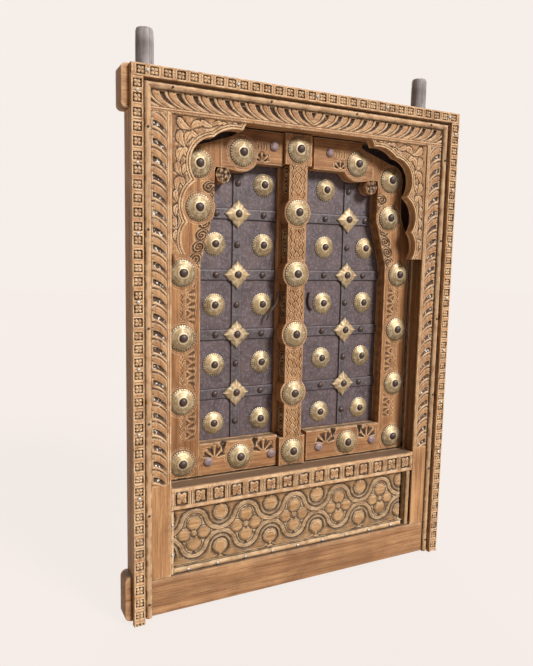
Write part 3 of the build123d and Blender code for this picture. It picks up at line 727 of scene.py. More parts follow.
# %% Leaf band
leaf_pitch = 32.0
leaf_phase_shares = [0, 0.03, 0.07, 0.13, 0.30, 0.46, 0.50, 0.54, 0.64, 0.76, 0.82, 0.88, 0.95, 1.0]
leaf_tops = [2.2, 1.9, 0.8, 0.3, 0.0, 0.3, 0.5, 0.5, 0.5, 0.4, 0.3, 0.0, 0.7, 2.2]
leaf_recesses = [0, 0, 0, 0, 0, 0.2, 1.4, 4.4, 4.2, 2.6, 0.3, 0, 0, 0]
leaf_eye_share = 0.33
leaf_eye_width = 5.0
band_width = 30.0
band_inset = 9.0
band_foot_rise = 11.0
fillet_groove = 2.2
fillet_lines = [(0.0, 1.4), (band_width + 0.8, 1.6), (band_width + 5.2, 1.2)]


def leaf_band(run, across, sweep, bend):
    """Depth of the leaf row. Across goes from 0 at the bead to band_width at the opening."""
    share = np.clip(across / band_width, 0, 1)
    phase = (run / leaf_pitch - sweep * share ** bend) % 1.0
    taper = smooth(0.07, 0.18, share) * (1 - 0.75 * smooth(0.5, 0.9, share))
    depth = np.interp(phase, leaf_phase_shares, leaf_tops)
    depth = depth + np.interp(phase, leaf_phase_shares, leaf_recesses) * taper
    eye = groove((phase - leaf_eye_share) * leaf_pitch, leaf_eye_width)
    depth = depth + 1.5 * eye * (1 - smooth(0.08, 0.2, share))
    lines = sum(deep * groove(across - place, fillet_groove) for place, deep in fillet_lines)
    return np.where((across > 0) & (across < band_width), depth, 0) + lines


print("deepest cut of a leaf:", max(leaf_recesses), "mm below", max(leaf_tops))

# %% Jambs
jamb_sweep, jamb_bend = 0.55, 2.2
reveal_sink = 1.5
jamb_low, jamb_high = span("right_jamb")
transom_low, transom_high = span("transom_beam")
frame_front, frame_back = jamb_low[1], jamb_high[1]
band_outer = jamb_low[0] + band_inset + band_width
band_foot = transom_high[2] + band_foot_rise


def jamb_relief(u, v):
    fade = smooth(band_foot - 2, band_foot + 3, v)
    leaves = leaf_band(jamb_high[2] - v, band_outer - np.abs(u), jamb_sweep, jamb_bend)
    return leaves * fade + hewn(u, v, 3)


def reveal(u, v, depth):
    """The side of a jamb that faces the opening, sunk back from a little behind its front, which darkens it
    like a cut.
    """
    inner = np.abs(np.abs(u) - jamb_low[0]) < 0.6
    return reveal_sink * smooth(frame_front + 1, frame_front + 9, depth) * inner


for side, sense in (("left", -1), ("right", 1)):
    low, high = span(f"{side}_jamb")
    edges = sorted((sense * (jamb_low[0] + 1.5), sense * (band_outer + 1)))
    band = ((edges[0], band_foot - 4), (edges[1], high[2] - 2))
    loop = rectangle(low[FACE], high[FACE])
    board = slab([loop], low[1], high[1], jamb_relief, fine=[band], rows=5, wall=reveal)
    piece(f"{side}_jamb", [board], limed_wood)
print("jamb triangles:", made_count)

# %% Head
head_sweep, head_bend = 1.0, 2.5
head_pin_radius = 17.5
foot_pin_radius = 14.0
running_clearance = 0.06
joint_lap = 6.0
joint_gap = 0.3
head_low, head_high = span("head_beam")
pivot_low, pivot_high = span("right_pivot_post")
pivot_spot = np.array([pivot_low[0] + pivot_high[0], pivot_low[1] + pivot_high[1]]) / 2
rear_reach = transom_high[0]


def head_relief(u, v):
    across = head_low[2] + band_inset + band_width - v
    leaves = leaf_band(band_outer - np.abs(u), across, head_sweep, head_bend)
    return leaves * (np.abs(u) < band_outer) + hewn(u, v, 5)


def pivot_holes(pin_radius):
    """Edges of the holes for both pivots, with their clearance."""
    return [circle(pivot_spot * (side, 1), pin_radius + running_clearance, sense=-1) for side in (-1, 1)]


head_outline = max(face_loops("head_beam", frame_front), key=lambda loop: np.ptp(loop[:, 0]))
band_top = head_low[2] + band_inset + band_width + 2
band = ((-band_outer - 1, head_low[2] + 1.5), (band_outer + 1, band_top))
head_face = slab([head_outline], frame_front, frame_back, head_relief, fine=[band], rows=4)
rear = rectangle((-rear_reach, frame_back - joint_lap), (rear_reach, head_high[1]))
head_rear = slab([rear] + pivot_holes(head_pin_radius), -head_high[2] + joint_gap, -head_low[2] - joint_gap,
                 place=level, both=True, rows=8)
piece("head_beam", [head_face, head_rear], carved_wood, along="x")
print("head beam triangles:", made_count["head_beam"])

# %% [markdown]
# ## Sill and transom
# The sill is a plain beam with a tall rounded horn. The transom above the apron has a row of
# square rosettes between pairs of upright bars, and a bare ledge on top that has gone grey.
# Rosettes could be copied as objects, but as part of the depth they stay one piece of wood.

# %% Sill
sill_tool_marks = 0.6
sill_outline = face_loops("sill_beam", frame_front)[0]
sill = slab([sill_outline], frame_front, frame_back, lambda u, v: hewn(u, v, 7, sill_tool_marks), both=True,
            edge=2.2, rows=4)
piece("sill_beam", [sill], beam_wood, along="x")
print("sill triangles:", made_count["sill_beam"])

# %% Rosettes and transom
rosette_pitch = 40.0
rosette_reach = 13.0
rosette_half_width = 13.0
rosette_half_height = 14.5
rosette_pit = 5.0
rosette_rows = 7.45
slot_place, slot_wide, slot_deep = 11.4, 5.2, 6.5
bar_lines = [(rosette_pitch / 2, 2.8, 2.2), (15.8, 2.2, 1.8)]  # place, width, depth
petal_spot_share, petal_size_share, heart_size_share = 0.42, 0.40, 0.24
rosette_mid = (transom_low[2] + transom_high[2]) / 2


def rosette(cell, across, reach, pit):
    """Depth of a four-petalled flower that fills a square pit."""
    motifs = [np.hypot(cell - x * reach, across - z * reach) - petal_size_share * reach
              for x in (-petal_spot_share, petal_spot_share) for z in (-petal_spot_share, petal_spot_share)]
    motifs.append(np.hypot(cell, across) - heart_size_share * reach)
    return motif_depth(motifs, 0.3 * pit, 0.4 * reach, pit, 0.0)


def transom_relief(u, v):
    cell = (u + rosette_pitch / 2) % rosette_pitch - rosette_pitch / 2
    across = v - rosette_mid
    flower = 0.55 * rosette(cell, across, rosette_reach, rosette_pit) + 0.9 * uneven(u, v, 9, 13)
    slot = groove(np.abs(cell) - slot_place, slot_wide) * (1 - smooth(9.5, 12.0, np.abs(across)))
    within = 1 - smooth(rosette_half_width - 0.6, rosette_half_width + 0.6, np.abs(cell))
    band = 1 - smooth(rosette_half_height - 0.6, rosette_half_height + 0.6, np.abs(across))
    bars = sum(deep * groove(np.abs(cell) - place, wide) for place, wide, deep in bar_lines)
    depth = np.maximum(np.clip(flower, 0.2, 5) * within + bars * (1 - within), slot_deep * slot)
    return (np.abs(u) < rosette_pitch * rosette_rows) * band * depth + hewn(u, v, 11)


front_reach = jamb_low[0]
transom_face = rectangle((-front_reach, transom_low[2]), (front_reach, transom_high[2]))
row_foot, row_top = rosette_mid - rosette_half_height - 1, rosette_mid + rosette_half_height + 1
row = ((-front_reach + 2, row_foot), (front_reach - 2, row_top))
transom_front = slab([transom_face], frame_front, frame_back, transom_relief, fine=[row], edge=1.8, rows=5)
socket_floor = pivot_low[2]
rear = rectangle((-rear_reach, frame_back - joint_lap), (rear_reach, transom_high[1]))
sockets = pivot_holes(foot_pin_radius)
rear_top = slab([rear] + sockets, -transom_high[2] + joint_gap, -socket_floor, place=level, rows=4)
rear_foot = slab([rear], -socket_floor, -transom_low[2] - joint_gap, place=level, edge=0.2, rows=2)
piece("transom_beam", [transom_front, rear_top, rear_foot], carved_wood, along="x")
print("transom triangles:", made_count["transom_beam"])

# %% [markdown]
# ## Apron
# Two ribbons run along the apron in round arches and dips, mirrored about its middle. They
# enclose quatrefoils, and half flowers hang from the edges between them. Curves with a bevel
# would lie on the wood instead of being cut from it. So the distance of a point from a ribbon is
# worked out from its two circles, and a section across it gives the rounded double line.

# %% Apron panel
ribbon_pitch = 117.0
ribbon_phase = -15.0
ribbon_half = 5.2
arch_radius = 27.0
arch_rise = 21.0
dip_rise = 37.0
petal_rise = 22.0
petal_radius = 16.0
side_petal_reach = 21.5
side_petal_radius = 14.5
heart_radius = 6.8
heart_gap = 0.8
bud_radius = 17.0
far_away = 20.0
field_rim_depth = 2.6
slot_width = 12.0
slot_floor = 14.0

apron_low, apron_high = span("apron_panel")
bottom_bead_low, bottom_bead_high = span("apron_bottom_bead")
field_left, field_right = bottom_bead_low[0], bottom_bead_high[0]
field_foot = bottom_bead_high[2]
field_mid = (field_foot + apron_high[2]) / 2
field_half = apron_high[2] - field_mid


def half_motifs(cell, gap, height, heart):
    """Edges of one ribbon with its bud, petal and calyx, and the lines cut into them."""
    climb, across = dip_rise - arch_rise, ribbon_pitch / 2
    dip_radius = hypot(across, climb) - arch_radius
    arch = np.hypot(cell, height - arch_rise) - arch_radius
    dip = dip_radius - np.hypot(gap, height - dip_rise)
    over = (height - arch_rise) * across - cell * climb > 0
    ribbon = np.where(over, arch, dip)
    bud = np.hypot(gap, height - dip_rise) - bud_radius
    petal = np.hypot(cell, height - petal_rise) - petal_radius
    # The calyx narrows from 7 mm beside its middle to a neck of 4, and widens to 9 at the edge.
    stalk = 7.0 - 3.0 * smooth(50, 56, height) + 5.0 * smooth(56, 62, height)
    calyx = np.where(height > dip_rise + 6, gap - stalk, far_away)
    lines = 1.6 * groove(ribbon, 2.6) + 1.0 * groove(bud + 4.5, 2.0) * (height < dip_rise + 4)
    return [np.abs(ribbon) - ribbon_half, bud, np.maximum(petal, heart_gap - heart), calyx], lines


def apron_relief(u, v):
    cell = np.abs((u - ribbon_phase + ribbon_pitch / 2) % ribbon_pitch - ribbon_pitch / 2)
    gap = ribbon_pitch / 2 - cell
    rise = v - field_mid
    heart = np.hypot(cell, rise) - heart_radius
    side_petal = np.hypot(cell - side_petal_reach, rise) - side_petal_radius
    upper, upper_lines = half_motifs(cell, gap, rise, heart)
    lower, lower_lines = half_motifs(cell, gap, -rise, heart)
    motifs = [heart, np.maximum(side_petal, heart_gap - heart)] + upper + lower
    depth = motif_depth(motifs, 2.4, 9.0, ground=0.6, well=3.8, fade=3.4)
    depth = depth + upper_lines + lower_lines + 0.5 * uneven(u, v, 16, 21)
    beyond = smooth(field_half - 2.5, field_half - 0.5, np.abs(rise))
    depth = np.clip(depth, 0, 6) * (1 - beyond) + field_rim_depth * beyond
    slot_end = field_right + slot_width
    slot = smooth(field_right - 0.4, field_right + 0.4, u) * (1 - smooth(slot_end - 0.4, slot_end + 0.4, u))
    return depth + (slot_floor - depth) * slot * (v > field_foot)


panel = rectangle(apron_low[FACE], apron_high[FACE])
field = ((field_left - 2, field_foot - 1), (field_right + slot_width + 2, apron_high[2] - 1.5))
apron = slab([panel], apron_low[1], apron_high[1], apron_relief, fine=[field], edge=0.6)
piece("apron_panel", [apron], apron_wood, along="x")
print("apron triangles:", made_count["apron_panel"])

# %% Apron beads
apron_bead_crown = 3.5
bead_wobble = 0.5


def bead_relief(middle, half, height, axis, seed):
    """Rounded profile across a bead, a little uneven along it."""
    def relief(u, v):
        across = np.clip(np.abs((u, v)[axis] - middle) / half, 0, 1)
        return height * (1 - np.sqrt(1 - 0.97 * across ** 2)) + dented(bead_wobble, 60, seed)(u, v)
    return relief


for node, axis, seed in (
    ("apron_bottom_bead", 1, 31),
    ("apron_left_bead", 0, 33),
    ("apron_right_bead", 0, 35),
):
    low, high = span(node)
    middle, half = (low + high)[FACE[axis]] / 2, (high - low)[FACE[axis]] / 2
    relief = bead_relief(middle, half, apron_bead_crown, axis, seed)
    bead = slab([rectangle(low[FACE], high[FACE])], low[1], high[1], relief, spacing=2.5, edge=0.8, rows=0)
    piece(node, [bead], apron_wood, along="zx"[axis])
    print(node, made_count[node], "triangles")

# %% [markdown]
# ## Spandrels
# The cusped arch is cut from two flat boards. A double moulding follows the cusps, and leaning
# leaves with a vein fill the corner. Each leaf could be a copied mesh, but copies never sit well
# in a tapering corner. So a short table gives each leaf's middle in from the jamb and down from
# the head, its size and its lean, and all are raised from one lowered ground.

# %% Cusped spandrels
spandrel_leaves = [  # inset, drop, half length, half width, lean in degrees
    (24, 18, 15, 7, 35), (19, 44, 15, 7, 70), (33, 40, 13, 6, 120), (17, 72, 14, 6.5, 110),
    (31, 69, 12, 5.5, 60), (15, 99, 13, 6, 70), (28, 97, 11, 5, 120), (13, 125, 13, 5.5, 105),
    (25, 123, 10, 4.5, 65), (11, 150, 12, 5, 75), (21, 149, 9, 4, 110), (10, 175, 11, 4.5, 100),
    (9, 199, 11, 4.2, 80), (9, 222, 10, 4, 100), (48, 16, 13, 6, 150), (47, 33, 9, 4.5, 30),
    (70, 12, 12, 5, 20), (91, 9, 10, 4, 160), (110, 8, 9, 3.5, 20), (127, 7, 7, 3, 165),
]
moulding_reaches = [0, 1.0, 3.6, 4.6, 5.4, 6.2, 8.6, 9.6, 10.4]
moulding_depths = [0.8, 0.0, 0.0, 2.2, 2.2, 0.4, 0.4, 2.6, 3.4]
leaf_curve = 0.02
vein_depth, vein_width = 1.6, 2.2
spandrel_high = span("right_spandrel")[1]


def spandrel_relief(arch):
    """Carving of one spandrel, from the line of its cusped edge."""
    def relief(u, v):
        inset, drop = spandrel_high[0] - np.abs(u), spandrel_high[2] - v
        rim = path_distance(np.abs(u), v, arch)
        leaves, veins = [], 0
        for x, z, length, width, lean in spandrel_leaves:
            turn = radians(lean)
            along = (inset - x) * cos(turn) + (drop - z) * sin(turn)
            off = (drop - z) * cos(turn) - (inset - x) * sin(turn) + leaf_curve * along ** 2 - 1.5
            taper = width * (1 - 0.45 * along / length)
            gap = (np.hypot(along / length, off / taper) - 1) * width
            leaves.append(gap)
            veins = np.maximum(veins, vein_depth * groove(off, vein_width) * (gap < -1.0))
        field = motif_depth(leaves, 0.9, 3.0, 0.6, 3.0, 2.0) + veins + 0.5 * uneven(u, v, 9, 41)
        side = smooth(1.5, 3.0, np.minimum(inset, drop))
        field = 0.4 + (field - 0.4) * side
        edge = np.interp(rim, moulding_reaches, moulding_depths)
        edge = np.where(side > 0.5, edge, np.minimum(edge, field))
        return np.where(rim < moulding_reaches[-1], edge, field)
    return relief


def cusped_edge(loop):
    """The part of a spandrel's outline that follows the arch, from its crown to its tip."""
    flat = np.stack([np.abs(loop[:, 0]), loop[:, 1]], 1)
    arch = flat[flat[:, 0] < spandrel_high[0] - FLAT]
    arch = np.roll(arch, -np.argmax(arch[:, 1]), axis=0)
    if abs(arch[1, 1] - arch[0, 1]) > abs(arch[-1, 1] - arch[0, 1]):
        arch = np.roll(arch[::-1], 1, axis=0)
    return arch


for side in ("left", "right"):
    low, high = span(f"{side}_spandrel")
    loop = counter_clockwise(face_loops(f"{side}_spandrel", high[1])[0])
    board = slab([loop], low[1], high[1], spandrel_relief(cusped_edge(loop)), spacing=GRID_FINE, edge=0.8)
    piece(f"{side}_spandrel", [board], carved_wood)
print("spandrel triangles:", made_count["right_spandrel"])

# %% [markdown]
# ## Border strips and beads
# Narrow strips nailed round the face carry a row of small flowers in squares, with a bar between
# them, and a plain half-round bead lies inside. The flower is the transom's, only smaller, and a
# remainder repeats it along the strip, which costs no more than drawing it once.

# %% Border strips
strip_pitch = 25.0
square_half = 7.6
strip_pit = 4.6
strip_squares_each_way = 15


def strip_relief(axis, start, middle, seed):
    """Row of flowers in squares along one axis of the face."""
    def relief(u, v):
        run, across = ((u, v), (v, u))[axis]
        cell = (run - start) % strip_pitch - strip_pitch / 2
        across = across - middle
        flower = rosette(cell, across, square_half, strip_pit)
        square = 1 - smooth(square_half - 0.5, square_half + 0.5, np.maximum(np.abs(cell), np.abs(across)))
        bars = 1.5 * groove(np.abs(cell) - strip_pitch / 2, 2.2) * (np.abs(across) < square_half)
        return flower * square + bars + hewn(u, v, seed, 0.3)
    return relief


for node, axis in (("top_border_strip", 0), ("left_border_strip", 1), ("right_border_strip", 1)):
    low, high = span(node)
    middle = (low + high)[FACE[1 - axis]] / 2
    start = (-strip_pitch * strip_squares_each_way, high[2])[axis]
    relief = strip_relief(axis, start, middle, 51 + axis)
    strip = slab([rectangle(low[FACE], high[FACE])], low[1], high[1], relief, spacing=GRID_FINE, edge=1.0)
    piece(node, [strip], carved_wood, along="xz"[axis])
    print(node, made_count[node], "triangles")

# %% Half-round beads
for node, axis in (("top_round_bead", 1), ("left_round_bead", 0), ("right_round_bead", 0)):
    low, high = span(node)
    loop = counter_clockwise(face_loops(node, high[1])[0])
    middle, half = (low + high)[FACE[axis]] / 2, (high - low)[FACE[axis]] / 2
    relief = bead_relief(middle, half, high[1] - low[1] - 0.8, axis, 61)
    bead = slab([loop], low[1], high[1] + 0.4, relief, spacing=2.4, edge=0.3, rows=0)
    piece(node, [bead], carved_wood, along="zx"[axis])
    print(node, made_count[node], "triangles")

# %% [markdown]
# ## Carved timbers of the shutters
# The stiles, rails and meeting column are outlined in lobes, one round each brass dome. A groove
# rings every dome, half flowers open along the stiles, curled leaves climb the arch, fans stand
# on the rails and zigzags cover the column. Sculpting them all would take days. Each is a short
# formula of the distance from an edge or a point, so the rows follow whatever outline they get.

# %% Rows of cuts
ring_radius = 32.0
ring_width, ring_depth = 2.8, 0.9
flower_pitch = 25.0
flower_inset = 33.0
flower_reach = 24.0
flower_heart = 5.5
flower_rays = 9
zigzag_inset = 39.0
boss_spots = {}
for side in ("left", "right"):
    boss_spots[side] = np.array([middle_of(box) for box in islands(f"{side}_frame_bosses")])


def zigzag(run, across, pitch=11.0, reach=2.6):
    """Upright line of short slanting cuts."""
    swing = np.abs((run / pitch) % 1.0 - 0.5) * 4 - 1
    return 2.0 * groove(across - reach * swing, 3.4)


def half_flowers(inner, run):
    """Row of half flowers that open towards an edge, with a zigzag line behind them."""
    row = (run % flower_pitch) - flower_pitch / 2
    reach, turn = np.hypot(flower_inset - inner, row), np.arctan2(row, flower_inset - inner)
    rays = 1.5 * (0.5 - 0.5 * np.cos(flower_rays * turn)) * smooth(7, 10, reach)
    rays = rays * (1 - smooth(flower_reach - 3, flower_reach, reach))
    rings = 1.5 * groove(reach - flower_heart, 2.4) + 1.4 * groove(reach - flower_reach + 1, 2.4)
    flowers = (rays + rings) * (inner < flower_inset) * smooth(1.5, 3.5, inner)
    return flowers + zigzag(run, inner - zigzag_inset)


def fan(u, v, centre, radius, rays=8, deep=3.4):
    """Spray of leaves that opens upwards from one point."""
    du, dv = u - centre[0], v - centre[1]
    reach, turn = np.hypot(du, dv), np.arctan2(du, dv)
    outline = radius * (0.78 + 0.22 * np.abs(np.cos(turn * rays / 2)))
    leaf = deep * (0.5 - 0.5 * np.cos(turn * rays)) * smooth(0.12, 0.4, reach / radius)
    within = (1 - smooth(0.94, 1.0, reach / outline)) * (1 - smooth(1.25, 1.45, np.abs(turn)))
    return leaf * within + 2.2 * groove(reach - outline - 0.8, 3.0) * (np.abs(turn) < 1.35)


def timber_relief(side, extra, seed):
    """Rings round the domes, and what the timber carries between them."""
    def relief(u, v):
        away = np.min([np.hypot(u - x, v - z) for x, z in boss_spots[side]], axis=0)
        clear = smooth(ring_radius + 1, ring_radius + 4, away)
        ring = ring_depth * groove(away - ring_radius, ring_width)
        return extra(u, v) * clear + ring + hewn(u, v, seed, 0.6)
    return relief


print("domes on the shutters' timbers:", {side: len(spots) for side, spots in boss_spots.items()})

# %% Stile carving
arch_foot = 690.0
haunch_spot = (181.0, 877.0)
haunch_reach = 15.0
curl_pitch, curl_inset, curl_reach, curl_line = 24.0, 13.0, 11.0, 5.6
scallop_pitch, scallop_depth = 24.0, 1.6
shutter_front = span("right_stile")[0][1]
rail_high = span("right_bottom_rail")[1]
top_rail_low = span("right_top_rail")[0]
carving_foot = (rail_high[2] + 8, rail_high[2] + 20)
carving_head = (855, 870)


def inner_edge(node, widest, foot, head):
    """Inner edge of a shutter's stile, as a line that runs upwards on the right-hand side."""
    loop = face_loops(node, shutter_front)[0]
    loop = resample(np.stack([np.abs(loop[:, 0]), loop[:, 1]], 1), 6.0)
    edge = loop[(loop[:, 0] < widest) & (loop[:, 1] > foot)]
    edge = edge[np.argsort(edge[:, 1])]
    return edge[edge[:, 1] < head]


stile_edge = inner_edge("right_stile", rail_high[0] + 12, rail_high[2], top_rail_low[2] - 8)


def curls(inner, run):
    """Row of tight curled leaves, cut deep."""
    row = (run % curl_pitch) - curl_pitch / 2
    reach, turn = np.hypot(inner - curl_inset, row), np.arctan2(row, inner - curl_inset)
    coil = np.abs((reach / curl_line - turn / (2 * pi)) % 1.0 - 0.5) * curl_line
    depth = 2.7 - 2.5 * groove(coil, 4.6) + 0.5 * uneven(inner, run, 6, 85)
    return depth * (1 - smooth(curl_reach, curl_reach + 2, reach)) + 2.0 * groove(reach - curl_reach - 2, 3.0)


def haunch_flower(u, v):
    """Deep little flower in the corner under the arch."""
    du, dv = np.abs(u) - haunch_spot[0], v - haunch_spot[1]
    reach, turn = np.hypot(du, dv), np.arctan2(dv, du)
    pit = 4.4 - 3.4 * np.abs(np.cos(2.5 * turn + 0.4)) * smooth(4, 7, reach) + 1.0 * uneven(u, v, 7, 79)
    return pit * (1 - smooth(haunch_reach - 2, haunch_reach, reach))


def stile_leaves(u, v):
    """Half flowers up the straight part of a stile, and curls along its arch."""
    inner = path_distance(np.abs(u), v, stile_edge)
    ends = smooth(*carving_foot, v) * (1 - smooth(*carving_head, v))
    arch = smooth(arch_foot - 4, arch_foot + 4, v)
    return (half_flowers(inner, v) * (1 - arch) + curls(inner, v) * arch) * ends + haunch_flower(u, v)


def stile_sides(u, v, depth):
    """Scallops cut into the inner side of a stile."""
    inner = path_distance(np.abs(u), v, stile_edge) < 0.8
    rough = dented(scallop_depth, 13, 83)(np.full(len(v), depth), v)
    scallops = np.abs(np.sin(pi * v / scallop_pitch)) * smooth(shutter_front, shutter_front + 5, depth)
    return rough * scallops * inner * smooth(*carving_foot, v)


print("points along the stile's inner edge:", len(stile_edge))

# %% Rail and column carving
notch_depth, notch_drop, notch_offset, notch_half = 8.5, 24, 37, 9
rail_fan_offset, rail_fan_drop, rail_fan_radius = 57, 33, 30
comb_pitch, comb_start, comb_depth = 6.5, 82, 2.2
comb_spot, comb_half = (95, 940), (12, 7)
top_fan_spot, top_fan_radius = (96, 909), 20
neck_half = 22.0
side_flower_depth, side_flower_step, side_flower_reach, side_ring_pitch = 19, 14, 11.5, 6.8
strap_low, strap_high = span("right_upright_strap")
strap_mid = (strap_low[0] + strap_high[0]) / 2
column_low, column_high = span("meeting_column")
column_mid = (column_low[0] + column_high[0]) / 2
column_rows = sorted(z for x, z in boss_spots["left"] if abs(x - column_mid) < 1)
neck_rows = [(low + high) / 2 for low, high in zip(column_rows, column_rows[1:])]


def rail_leaves(u, v):
    """Two fans on a bottom rail, with a notch beside each."""
    drop = rail_high[2] - v
    beside = np.abs(np.abs(u) - strap_mid)
    depth = notch_depth * np.clip(1.1 - drop / notch_drop - np.abs(beside - notch_offset) / notch_half, 0, 1)
    for x in (strap_mid - rail_fan_offset, strap_mid + rail_fan_offset):
        depth = np.maximum(depth, fan(np.abs(u), v, (x, rail_high[2] - rail_fan_drop), rail_fan_radius))
    return depth


def top_leaves(u, v):
    """A comb of short cuts and a small fan on a top rail."""
    comb = comb_depth * groove(((np.abs(u) - comb_start) % comb_pitch) - 3.2, 3.0)
    beside, above = np.abs(np.abs(u) - comb_spot[0]), np.abs(v - comb_spot[1])
    comb = comb * (beside < comb_half[0]) * (above < comb_half[1])
    return comb + fan(np.abs(u), v, top_fan_spot, top_fan_radius) + haunch_flower(u, v)


def column_leaves(u, v):
    """Four zigzags down the column, two on each side of its middle."""
    side = np.abs(u - column_mid)
    return 1.3 * (zigzag(v, side - 5.0, 15.0, 3.2) + zigzag(v + 7, side - 14.5, 15.0, 2.4))


def column_sides(u, v, depth):
    """Round flowers on the column's sides, two on each neck."""
    rise = depth - column_low[1] - side_flower_depth
    heights = [z + step for z in neck_rows for step in (-side_flower_step, side_flower_step)]
    away = np.min([np.hypot(rise, v - z) for z in heights], axis=0)
    narrow = np.abs(np.abs(u - column_mid) - neck_half) < 0.6
    rings = 3.6 * (0.5 + 0.5 * np.cos(away * 2 * pi / side_ring_pitch))
    rings = rings * (1 - smooth(side_flower_reach, side_flower_reach + 1.5, away))
    # The 0.8 sinks each side face a little and so paints it darker all over, as painted shade.
    return (rings + 2.6 * groove(away - side_flower_reach - 2, 3.5) + 0.8) * narrow


print("necks of the column at heights", np.round(neck_rows, 1))

# %% Cut the timbers
base_thickness = 8.0
for side in ("left", "right"):
    for part, extra, along, seed, rows, wall in (
        ("stile", stile_leaves, "z", 71, 9, stile_sides),
        ("top_rail", top_leaves, "x", 73, 1, None),
        ("bottom_rail", rail_leaves, "x", 75, 1, None),
    ):
        node = f"{side}_{part}"
        low, high = span(node)
        timber = slab(face_loops(node, low[1]), low[1], high[1], timber_relief(side, extra, seed),
                      spacing=GRID_FINE, edge=1.6, rows=rows, wall=wall)
        piece(node, [timber], shutter_wood, along=along)

column_loop = max(face_loops("meeting_column", column_low[1]), key=len)
column = slab([column_loop], column_low[1], column_high[1], timber_relief("left", column_leaves, 77),
              spacing=GRID_FINE, edge=1.8, rows=20, wall=column_sides)
base = slab([rectangle(column_low[FACE], column_high[FACE])], column_high[1] - base_thickness, column_high[1])
piece("meeting_column", [column, base], shutter_wood)
print("stile triangles:", made_count["left_stile"], "column:", made_count["meeting_column"])

# %% [markdown]
# ## Boards, posts and ledges behind
# Plain sawn boards back each shutter, held by three ledges. The outer board turns on a squared
# post whose round ends sit in the head and the transom, and whose bare tops have weathered grey.
# A bevelled box would do for most of it, but the slab maker also gives worn edges and tool marks.
# The round ends are turned, as on a lathe: rings of points along an axis.

# %% Turned solids
def tube_faces(rings, sides):
    """Faces that join rings of points, with a cap on each end."""
    faces = []
    for number in range(rings - 1):
        here = number * sides + np.arange(sides)
        after = number * sides + np.roll(np.arange(sides), -1)
        faces += np.stack([here, after, after + sides, here + sides], 1).tolist()
    return faces + [list(range(sides)), list(range((rings - 1) * sides, rings * sides))]


def turned(profile, centre, sides=40, ripple=None, hollow=None, place=upright):
    """Closed turned solid from (radius, depth) pairs, about an axis through the centre.

    Ripple changes the radius of each ring by shares, and hollow says how dark a ring is.
    """
    turns = np.arange(sides) * 2 * pi / sides
    verts, dark = [], []
    for number, (radius, depth) in enumerate(profile):
        reach = radius * (1 + (ripple[number] if ripple is not None else 0) * np.ones(sides))
        us, vs = centre[0] + reach * np.cos(turns), centre[1] + reach * np.sin(turns)
        verts.append(place(us, vs, np.full(sides, depth)))
        dark.append(np.ones(sides) * (0.0 if hollow is None else hollow[number]))
    return Shape(np.concatenate(verts), tube_faces(len(profile), sides), np.concatenate(dark))


print("faces of a plain pin:", len(turned([(5, 0), (5, 10)], (0, 0)).faces))

# %% Backs of the shutters
board_count = 3
board_gap = 0.8
pin_lap = 1.0
head_pin_end = [(17.4, 30), (17.0, 6), (15.5, 1.5), (12, 0)]  # radius, distance below the top
foot_pin_end = [(14, 2), (12, 0)]  # radius, distance above the foot

for side in ("left", "right"):
    low, high = span(f"{side}_boards")
    width = (high[0] - low[0] + board_gap) / board_count
    boards = []
    for number in range(board_count):
        left = low[0] + number * width
        loop = rectangle((left, low[2]), (left + width - board_gap, high[2]))
        boards.append(slab([loop], low[1], high[1], lambda u, v: hewn(u, v, 81), spacing=9.0, both=True))
    piece(f"{side}_boards", boards, board_wood)
    ledges = []
    for box_low, box_high in islands(f"{side}_back_ledges"):
        loop = rectangle(box_low[FACE], box_high[FACE])
        ledges.append(slab([loop], box_low[1], box_high[1], both=True, edge=2.0))
    piece(f"{side}_back_ledges", ledges, board_wood, along="x")
    post_low, post_high = span(f"{side}_pivot_post")
    centre = (post_low[:2] + post_high[:2]) / 2
    body = slab([rectangle(post_low[:2], post_high[:2])], -high[2], -low[2], place=level, both=True, edge=2.5,
                rows=60)
    head_pin = [(head_pin_radius, pin_lap - high[2])] + [(r, drop - post_high[2]) for r, drop in head_pin_end]
    foot_pin = [(foot_pin_radius, -low[2] - pin_lap)] + [(r, -post_low[2] - rise) for r, rise in foot_pin_end]
    pins = [turned(pin, centre, place=level) for pin in (head_pin, foot_pin)]
    piece(f"{side}_pivot_post", [body] + pins, pivot_wood)
    print(side, "post from", round(post_low[2]), "to", round(post_high[2]), "mm")

# %% [markdown]
# ## Iron sheets and straps
# Sheet iron covers the boards, a little dented. Straps of hammered iron lie over it and hold it
# down, with a nail at every crossing. A painted shadow lies dark beside the straps. The shader could
# look for their edges, but their boxes are known, so the mesh carries the shadow as a hollow value.

# %% Sheets and straps
strap_margin = 5.0
sheet_dents = dented(0.35, 38, seed=91)
strap_dents = dented(0.4, 20, seed=93)
# Painted shadow beside the straps: how dark, where it fades, and how much further it reaches to the left and
# below.
shadow_darkness = 3.0
shadow_start, shadow_end = 0.2, 2.8
shadow_left, shadow_below = 0.8, 1.2


def strap_shadow(boxes):
    """Painted shadow beside the straps in a dark rust colour, wider to the left and below, as light from the
    upper right casts it.
    """
    def shade_paint(u, v):
        gap = np.full(len(u), np.inf)
        for low, high in boxes:
            across = np.maximum(low[0] - shadow_left - u, u - high[0])
            gap = np.minimum(gap, np.maximum(across, np.maximum(low[2] - shadow_below - v, v - high[2])))
        return shadow_darkness * (1 - smooth(shadow_start, shadow_end, gap))
    return shade_paint


